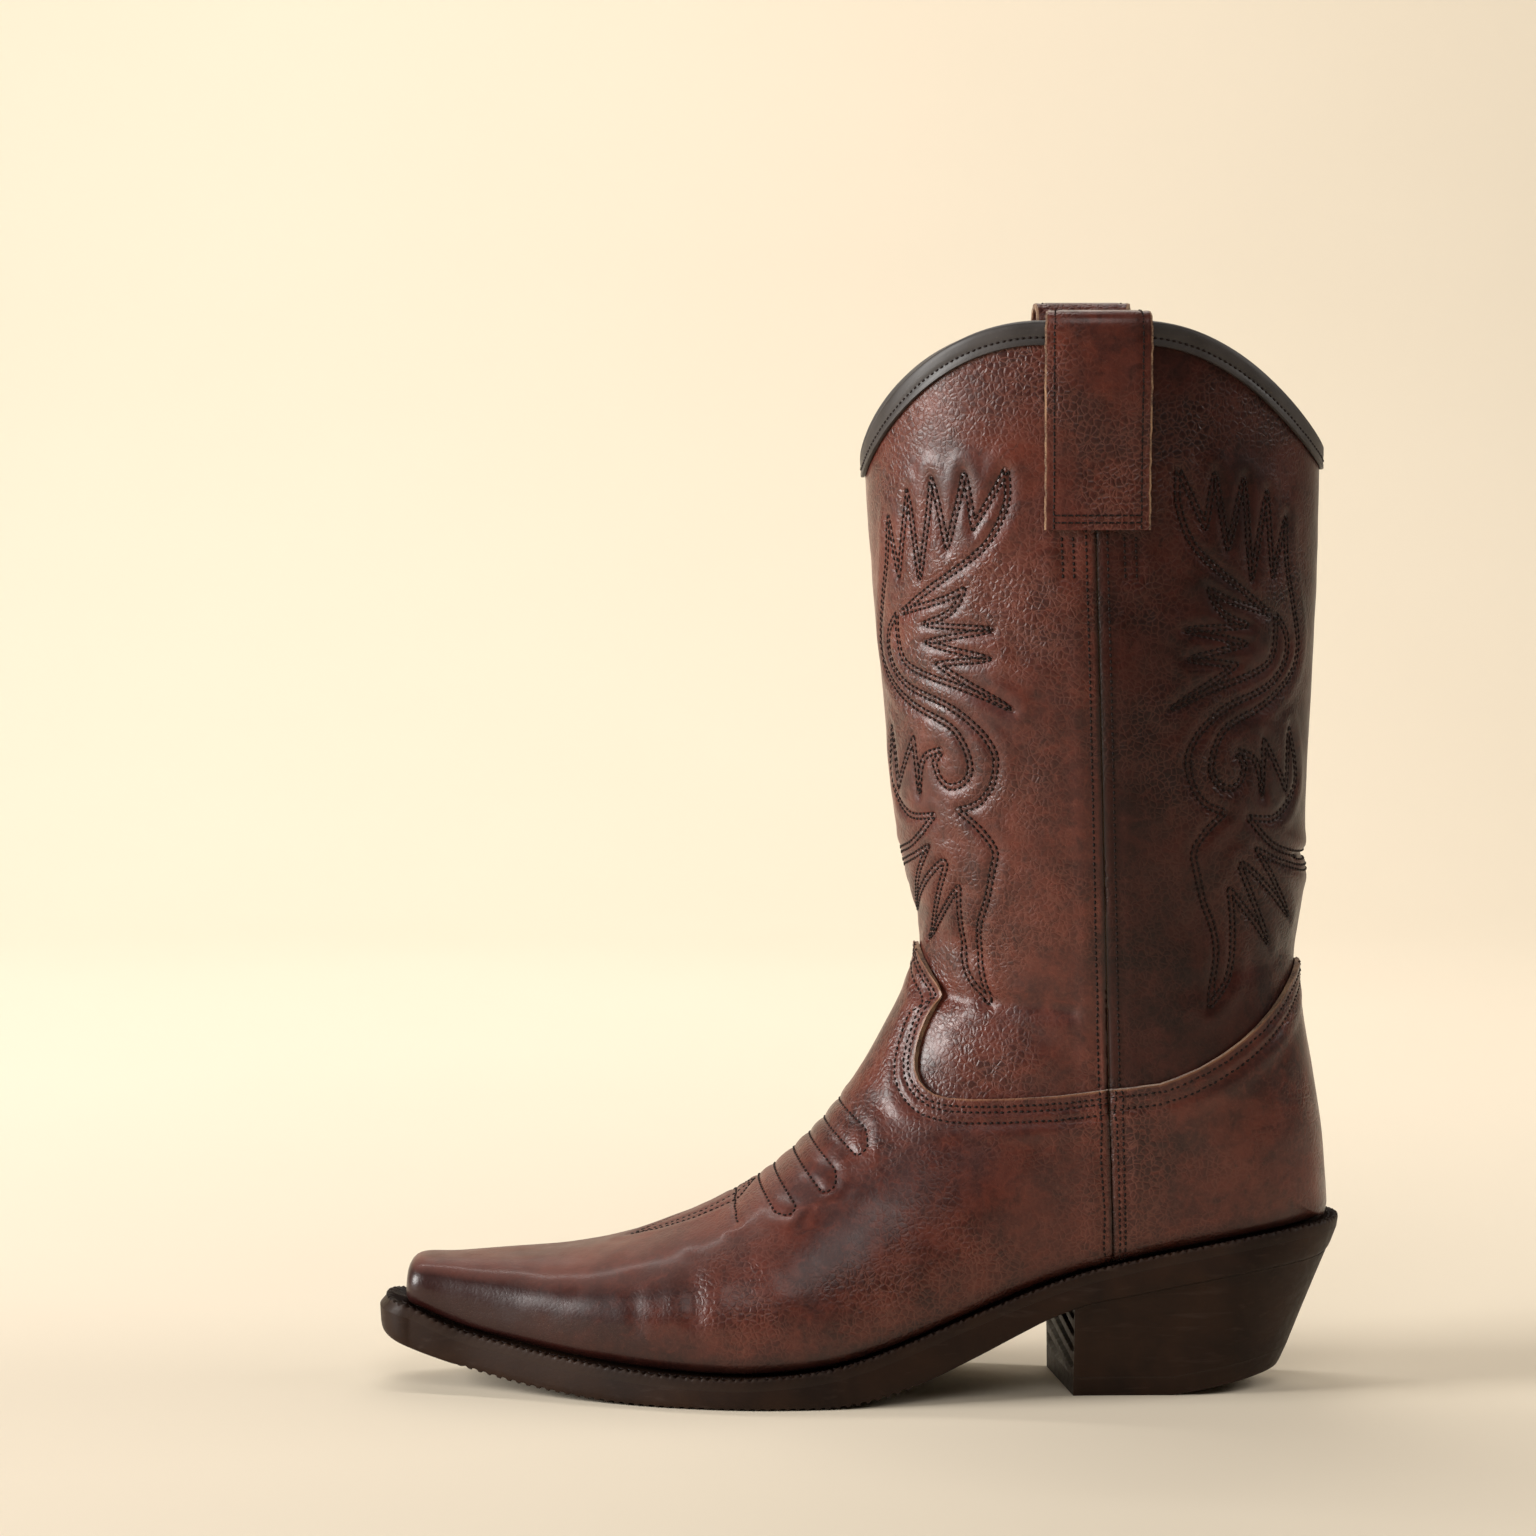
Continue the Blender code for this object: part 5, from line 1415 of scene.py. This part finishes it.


def leather_mask(tree):
    """How much each point is a cut edge, a groove along a row of thread, or in painted shade along the welt
    and the folded seams.
    """
    mask = node(tree, "ShaderNodeAttribute", attribute_name="mask")
    channels = node(tree, "ShaderNodeSeparateColor", {0: mask.outputs["Color"]})
    edge = remap(tree, channels.outputs[0], 0.0, 0.8 / MASK_SPAN, 1, 0)
    beside_row = maths(tree, "SUBTRACT", channels.outputs[1], DOUBLE_ROW / MASK_SPAN)
    beside_row = maths(tree, "ABSOLUTE", beside_row)
    groove = remap(tree, beside_row, 0.05 / MASK_SPAN, 0.45 / MASK_SPAN, 1, 0)
    # painted shade: darkest at the welt and at folded seams, gone 7 mm from the welt
    painted_shade = remap(tree, channels.outputs[2], 0.0, 7.0 / MASK_SPAN, 0.85, 0)
    return edge, groove, painted_shade


def clouded_brown(tree, coords, mottle, colours):
    """The leather's brown, with a red glow, streaks and a pale bloom."""
    figure = remap(tree, texture(tree, coords, FIGURE_SCALE, 4, 0.6), 0.32, 0.66)
    streaks = texture(tree, coords, STREAK_SCALE, 6, 0.8)
    bloom = texture(tree, coords, BLOOM_SCALE, 6, 1.2)
    colour = mix_colour(tree, figure, colours.dark, colours.middle)
    colour = mix_colour(tree, remap(tree, mottle, 0.42, 0.68, 0, 0.75), colour, colours.red)
    colour = mix_colour(tree, remap(tree, streaks, 0.5, 0.72, 0, 0.5), colour, colours.red)
    colour = mix_colour(tree, remap(tree, streaks, 0.3, 0.46, 0.6, 0), colour, colours.dark)
    return mix_colour(tree, remap(tree, bloom, 0.58, 0.8, 0, 0.3), colour, colours.pale)


def leather_relief(tree, coords, pebbles, grain, groove, worked):
    """Wrinkles and pebbles where the leather is worked, fine grain, and the grooves along the rows."""
    inputs = {"Vector": coords, "Scale": WRINKLE_SCALE, "Detail": 3.0, "Distortion": 1.2}
    folds = node(tree, "ShaderNodeTexNoise", inputs, noise_type="RIDGED_MULTIFRACTAL").outputs["Fac"]
    normal = bump(tree, maths(tree, "MULTIPLY", folds, worked), 0.00035, 0.2)
    normal = bump(tree, maths(tree, "MULTIPLY", remap(tree, pebbles, 0.0, 0.25), worked), 0.0003, 0.6, normal)
    normal = bump(tree, grain, 0.00012, 0.4, normal)
    return bump(tree, maths(tree, "SUBTRACT", 1.0, groove), 0.0003, 0.7, normal)


def toe_wear(tree, along_boot):
    """How much dust and painted light from above lie on the forefoot's top, and how burnished the toe's sides
    are.
    """
    surface = node(tree, "ShaderNodeTexCoord").outputs["Normal"]
    facing_up = node(tree, "ShaderNodeSeparateXYZ", {0: surface}).outputs[2]
    # surfaces that face up are paled: dust, and painted light from above
    dust_and_top_light = maths(tree, "MULTIPLY", remap(tree, facing_up, 0.55, 0.95), remap(tree, along_boot, *DUST_AND_TOP_LIGHT, 1, 0))
    clean = maths(tree, "SUBTRACT", 1, dust_and_top_light)
    return dust_and_top_light, maths(tree, "MULTIPLY", remap(tree, along_boot, *BURNISH, 0.95, 0), clean)


def leather_look(name, colours, gloss, shine):
    """Waxed pull-up leather: clouded brown, pale creases and edges, pebbled grain and a worn toe, with dust
    and painted light on its top.
    """
    look, tree, shader, coords = start_look(name)
    edge, groove, painted_shade = leather_mask(tree)
    mottle = texture(tree, coords, MOTTLE_SCALE, 6, 0.4)
    grain = texture(tree, coords, GRAIN_SCALE, 3)
    pebbles = cells(tree, warped(tree, coords), PORE_SCALE)
    along_boot = node(tree, "ShaderNodeSeparateXYZ", {0: coords}).outputs[0]
    worked = remap(tree, texture(tree, coords, 22.0, 3), 0.4, 0.62, 0.12, 1.0)
    behind_toe = remap(tree, along_boot, TOE_BOX_END, TOE_BOX_END + TOE_BOX_FADE, 0.12, 1.0)
    worked = maths(tree, "MULTIPLY", worked, behind_toe)
    creases = maths(tree, "MULTIPLY", remap(tree, pebbles, 0.0, 0.16, 0.5, 0), worked)
    worn_edge = maths(tree, "MULTIPLY", edge, remap(tree, mottle, 0.35, 0.6, 0.3, 1.0))
    dust_and_top_light, burnished = toe_wear(tree, along_boot)
    colour = clouded_brown(tree, coords, mottle, colours)
    for share, other in ((creases, colours.pale), (remap(tree, grain, 0.55, 0.8, 0, 0.25), colours.pale),
                         # painted shade darkens the grooves along the rows
                         (worn_edge, colours.edge), (maths(tree, "MULTIPLY", groove, 0.4), colours.dark),
                         # painted shade along the welt and the folded seams
                         (painted_shade, PAINTED_SHADE), (burnished, colours.dark),
                         # dust and painted light from above pale the forefoot's top
                         (maths(tree, "MULTIPLY", dust_and_top_light, 0.4), colours.pale)):
        colour = mix_colour(tree, share, colour, other)
    roughness = remap(tree, texture(tree, coords, 120.0, 4), 0.3, 0.7, gloss - 0.07, gloss + 0.09)
    for matt in (dust_and_top_light, edge):
        roughness = maths(tree, "ADD", roughness, maths(tree, "MULTIPLY", matt, 0.25))
    connect(tree, shader, colour, roughness, leather_relief(tree, coords, pebbles, grain, groove, worked))
    shader.inputs["Specular IOR Level"].default_value = shine
    shader.inputs["Coat Weight"].default_value = 0.2
    shader.inputs["Coat Roughness"].default_value = 0.2
    return look


def raw_look():
    """The cut edge of the leather: pale, fibrous and dull."""
    look, tree, shader, coords = start_look("raw_leather_edge")
    fibres = texture(tree, coords, 1400.0, 4, 0.8)
    patches = texture(tree, coords, 160.0, 3)
    colour = mix_colour(tree, remap(tree, patches, 0.38, 0.62), (0.10, 0.045, 0.028), (0.34, 0.19, 0.105))
    colour = mix_colour(tree, remap(tree, fibres, 0.45, 0.7, 0, 0.6), colour, (0.46, 0.30, 0.18))
    normal = bump(tree, fibres, 0.0003, 0.8)
    connect(tree, shader, colour, remap(tree, fibres, 0.3, 0.7, 0.7, 0.9), normal)
    shader.inputs["Sheen Weight"].default_value = 0.15
    return look


def binding_look():
    look, tree, shader, coords = start_look("binding_leather")
    cloud = texture(tree, coords, 60.0, 4)
    grain = texture(tree, coords, 1300.0, 3)
    colour = mix_colour(tree, remap(tree, cloud, 0.35, 0.65), (0.022, 0.017, 0.016), (0.042, 0.034, 0.032))
    colour = mix_colour(tree, remap(tree, grain, 0.6, 0.8, 0, 0.3), colour, (0.11, 0.09, 0.075))
    normal = bump(tree, cells(tree, coords, 1700.0), 0.0001, 0.35)
    normal = bump(tree, grain, 0.00008, 0.4, normal)
    connect(tree, shader, colour, remap(tree, cloud, 0.3, 0.7, 0.45, 0.6), normal)
    shader.inputs["Coat Weight"].default_value = 0.08
    shader.inputs["Coat Roughness"].default_value = 0.35
    return look


def lining_look():
    look, tree, shader, coords = start_look("lining_leather")
    cloud = texture(tree, coords, 35.0, 5)
    grain = texture(tree, coords, 1100.0, 3)
    colour = mix_colour(tree, remap(tree, cloud, 0.35, 0.68), (0.30, 0.185, 0.105), (0.43, 0.29, 0.175))
    colour = mix_colour(tree, remap(tree, grain, 0.55, 0.8, 0, 0.25), colour, (0.18, 0.10, 0.055))
    normal = bump(tree, cells(tree, coords, 1200.0), 0.0001, 0.4)
    connect(tree, shader, colour, remap(tree, cloud, 0.3, 0.7, 0.6, 0.78), normal)
    return look


def rubber_look():
    """Dark brown moulded rubber, dusty on its edges, with faint scuffs along the boot."""
    look, tree, shader, coords = start_look("sole_rubber")
    stretched = node(tree, "ShaderNodeMapping", {"Vector": coords, "Scale": (0.12, 1.0, 1.0)}).outputs[0]
    scuffs = texture(tree, stretched, 420.0, 5, 0.5)
    cloud = texture(tree, coords, 45.0, 5, 0.4)
    grain = texture(tree, coords, 1500.0, 3)
    patches = remap(tree, cloud, 0.35, 0.65)
    colour = mix_colour(tree, patches, (0.0115, 0.0037, 0.0014), (0.0250, 0.0092, 0.0036))
    colour = mix_colour(tree, remap(tree, scuffs, 0.58, 0.8, 0, 0.5), colour, (0.055, 0.035, 0.026))
    dust = node(tree, "ShaderNodeNewGeometry").outputs["Pointiness"]
    colour = mix_colour(tree, remap(tree, dust, 0.53, 0.65, 0, 0.25), colour, (0.07, 0.055, 0.044))
    normal = bump(tree, scuffs, 0.00012, 0.4)
    normal = bump(tree, grain, 0.00008, 0.45, normal)
    connect(tree, shader, colour, remap(tree, scuffs, 0.3, 0.75, 0.45, 0.65), normal)
    shader.inputs["Specular IOR Level"].default_value = 0.22
    return look


def thread_look():
    look, tree, shader, coords = start_look("waxed_thread")
    fibres = texture(tree, coords, 2600.0, 3)
    colour = mix_colour(tree, remap(tree, fibres, 0.35, 0.75), (0.004, 0.002, 0.0016), (0.026, 0.011, 0.008))
    normal = bump(tree, fibres, 0.0001, 0.6)
    connect(tree, shader, colour, remap(tree, fibres, 0.3, 0.7, 0.5, 0.7), normal)
    shader.inputs["Specular IOR Level"].default_value = 0.2
    return look


def board_look(name, dark, light, scale=300.0, roughness=0.85, metallic=0.0):
    """A plain mottled material for the boards, the cork and the steel inside."""
    look, tree, shader, coords = start_look(name)
    cloud = texture(tree, coords, scale, 5)
    specks = cells(tree, coords, scale * 1.5, "F1")
    colour = mix_colour(tree, remap(tree, cloud, 0.35, 0.65), dark, light)
    colour = mix_colour(tree, remap(tree, specks, 0.1, 0.5, 0.35, 0), colour, dark)
    normal = bump(tree, cloud, 0.0002, 0.5)
    rough = remap(tree, cloud, 0.3, 0.7, roughness - 0.08, roughness + 0.08)
    connect(tree, shader, colour, rough, normal)
    shader.inputs["Metallic"].default_value = metallic
    return look


def dress_hidden_nodes(looks):
    """Materials for the CAD nodes that keep their shape."""
    fibre = board_look("fibre_board", (0.20, 0.15, 0.11), (0.33, 0.26, 0.19))
    cork = board_look("cork", (0.26, 0.15, 0.075), (0.45, 0.30, 0.17), 220.0, 0.9)
    steel = board_look("steel", (0.40, 0.40, 0.41), (0.60, 0.60, 0.61), 500.0, 0.35, 1.0)
    finishes = {
        "toe_puff": fibre, "heel_stiffener": fibre, "insole_board": fibre, "heel_seat_board": fibre,
        "cork_filler": cork, "shank": steel, "heel_screw": steel, "sock_lining": looks.lining,
        "lateral_seam_tape": looks.lining, "medial_seam_tape": looks.lining,
    }
    finishes.update({f"heel_nail_{i}": steel for i in range(1, 5)})
    for name, finish in finishes.items():
        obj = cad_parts[name]
        for slot in obj.material_slots:
            slot.material = finish


# ---- The stage ----

CAMERA_PLACE, CAMERA_TILT = (-0.0285, -1.600, 0.300), 86.215
CAMERA_LENS, SENSOR = 119.74, 36.0
FLOOR_FRONT, FLOOR_BACK, WALL_TOP, STAGE_HALF_WIDTH, COVE = -7.0, 2.8, 3.4, 5.0, 1.4
PAPER_FADE = (-1.3, -0.35)  # the paper darkens towards the front, where its bounce would dull the leather
SHADED_PAPER = (0.34, 0.28, 0.21)


def add_camera():
    data = bpy.data.cameras.new("camera")
    data.lens, data.sensor_width = CAMERA_LENS, SENSOR
    data.clip_start, data.clip_end = 0.05, 20
    camera = bpy.data.objects.new("camera", data)
    camera.location = CAMERA_PLACE
    camera.rotation_euler = (math.radians(CAMERA_TILT), 0, 0)
    bpy.context.scene.collection.objects.link(camera)
    bpy.context.scene.camera = camera


def add_stage():
    """A floor that sweeps up into the wall behind."""
    profile = [(FLOOR_FRONT, 0.0), (FLOOR_BACK - COVE, 0.0)]
    angles = np.linspace(0, np.pi / 2, 17)[1:]
    profile += [(FLOOR_BACK - COVE + COVE * math.sin(a), COVE - COVE * math.cos(a)) for a in angles]
    profile.append((FLOOR_BACK, WALL_TOP))
    points = [(x, y, z) for x in (-STAGE_HALF_WIDTH, STAGE_HALF_WIDTH) for y, z in profile]
    count = len(profile)
    faces = [(i, count + i, count + i + 1, i + 1) for i in range(count - 1)]
    mesh = bpy.data.meshes.new("studio_sweep")
    mesh.from_pydata(points, [], faces)
    mesh.shade_smooth()
    look, tree, shader, coords = start_look("cream_paper")
    cloud = texture(tree, coords, 1.6, 3)
    colour = mix_colour(tree, cloud, (0.82, 0.715, 0.56), (0.86, 0.76, 0.61))
    depth = node(tree, "ShaderNodeSeparateXYZ", {0: coords}).outputs[1]
    colour = mix_colour(tree, remap(tree, depth, *PAPER_FADE, 0.5, 0), colour, SHADED_PAPER)
    connect(tree, shader, colour, remap(tree, cloud, 0.3, 0.7, 0.85, 0.95), bump(tree, cloud, 0.0005, 0.1))
    mesh.materials.append(look)
    sweep = bpy.data.objects.new("studio_sweep", mesh)
    bpy.context.scene.collection.objects.link(sweep)


LIGHTS = {  # degrees to the left of the camera, degrees up, distance, size, power, colour
    "key": (75, 16, 1.9, 0.8, 44, (1.0, 0.985, 0.96)),
    "front_fill": (0, 40, 2.4, 1.2, 12.5, (1.0, 0.98, 0.95)),
    "right_fill": (-90, 30, 1.9, 0.8, 10.5, (1.0, 0.97, 0.93)),
    "back_light": (180, 45, 1.9, 1.0, 4.0, (1.0, 0.98, 0.95)),
}
LIT_HEIGHT = 0.15  # the lights aim at the middle of the boot
WASH_PLACE, WASH_TARGET, WASH_SIZE, WASH_POWER = (-0.6, 0.7, 1.9), (0.0, 2.8, 0.7), (1.6, 0.6), 43


def add_light(name, place, target, size, power, colour):
    data = bpy.data.lights.new(name, "AREA")
    data.shape = "RECTANGLE"
    data.size, data.size_y = size
    data.energy, data.color = power, colour
    light = bpy.data.objects.new(name, data)
    light.location = place
    light.rotation_euler = (Vector(target) - Vector(place)).to_track_quat("-Z", "Y").to_euler()
    bpy.context.scene.collection.objects.link(light)


def add_lights():
    for name, (left, up, distance, size, power, colour) in LIGHTS.items():
        left, up = math.radians(left), math.radians(up)
        place = (-distance * math.sin(left) * math.cos(up), -distance * math.cos(left) * math.cos(up),
                 LIT_HEIGHT + distance * math.sin(up))
        add_light(name, place, (0, 0, LIT_HEIGHT), (size, size), power, colour)
    add_light("wall_wash", WASH_PLACE, WASH_TARGET, WASH_SIZE, WASH_POWER, (1.0, 0.98, 0.95))
    world = bpy.data.worlds.new("studio")
    bpy.context.scene.world = world
    world.use_nodes = True
    background = world.node_tree.nodes["Background"]
    background.inputs["Color"].default_value = (1.0, 0.84, 0.64, 1)
    background.inputs["Strength"].default_value = 0.06


# ---- Everything together ----


def build():
    add_camera()
    looks = Looks(
        leather=leather_look("vamp_leather", BOOT_BROWN, 0.38, 0.36),
        shaft=leather_look("shaft_leather", BOOT_BROWN, 0.38, 0.36),
        back=leather_look("back_shaft_leather", BACK_BROWN, 0.42, 0.2),
        raw=raw_look(), binding=binding_look(), lining=lining_look(), thread=thread_look(),
        rubber=rubber_look(),
    )
    flats = [FlatShaft(-1), FlatShaft(1)]
    add_vamp(looks)
    add_counter(looks)
    for panel in (-1, 1):
        add_shaft_panel(looks, panel, flats)
    add_linings(looks)
    add_binding(looks)
    add_pull_strap(looks, "lateral", -1)
    add_pull_strap(looks, "medial", 1)
    add_welt(looks)
    add_outsole(looks)
    add_heel(looks)
    dress_hidden_nodes(looks)
    add_stage()
    add_lights()
    bpy.context.scene.view_settings.view_transform = "Standard"


build()
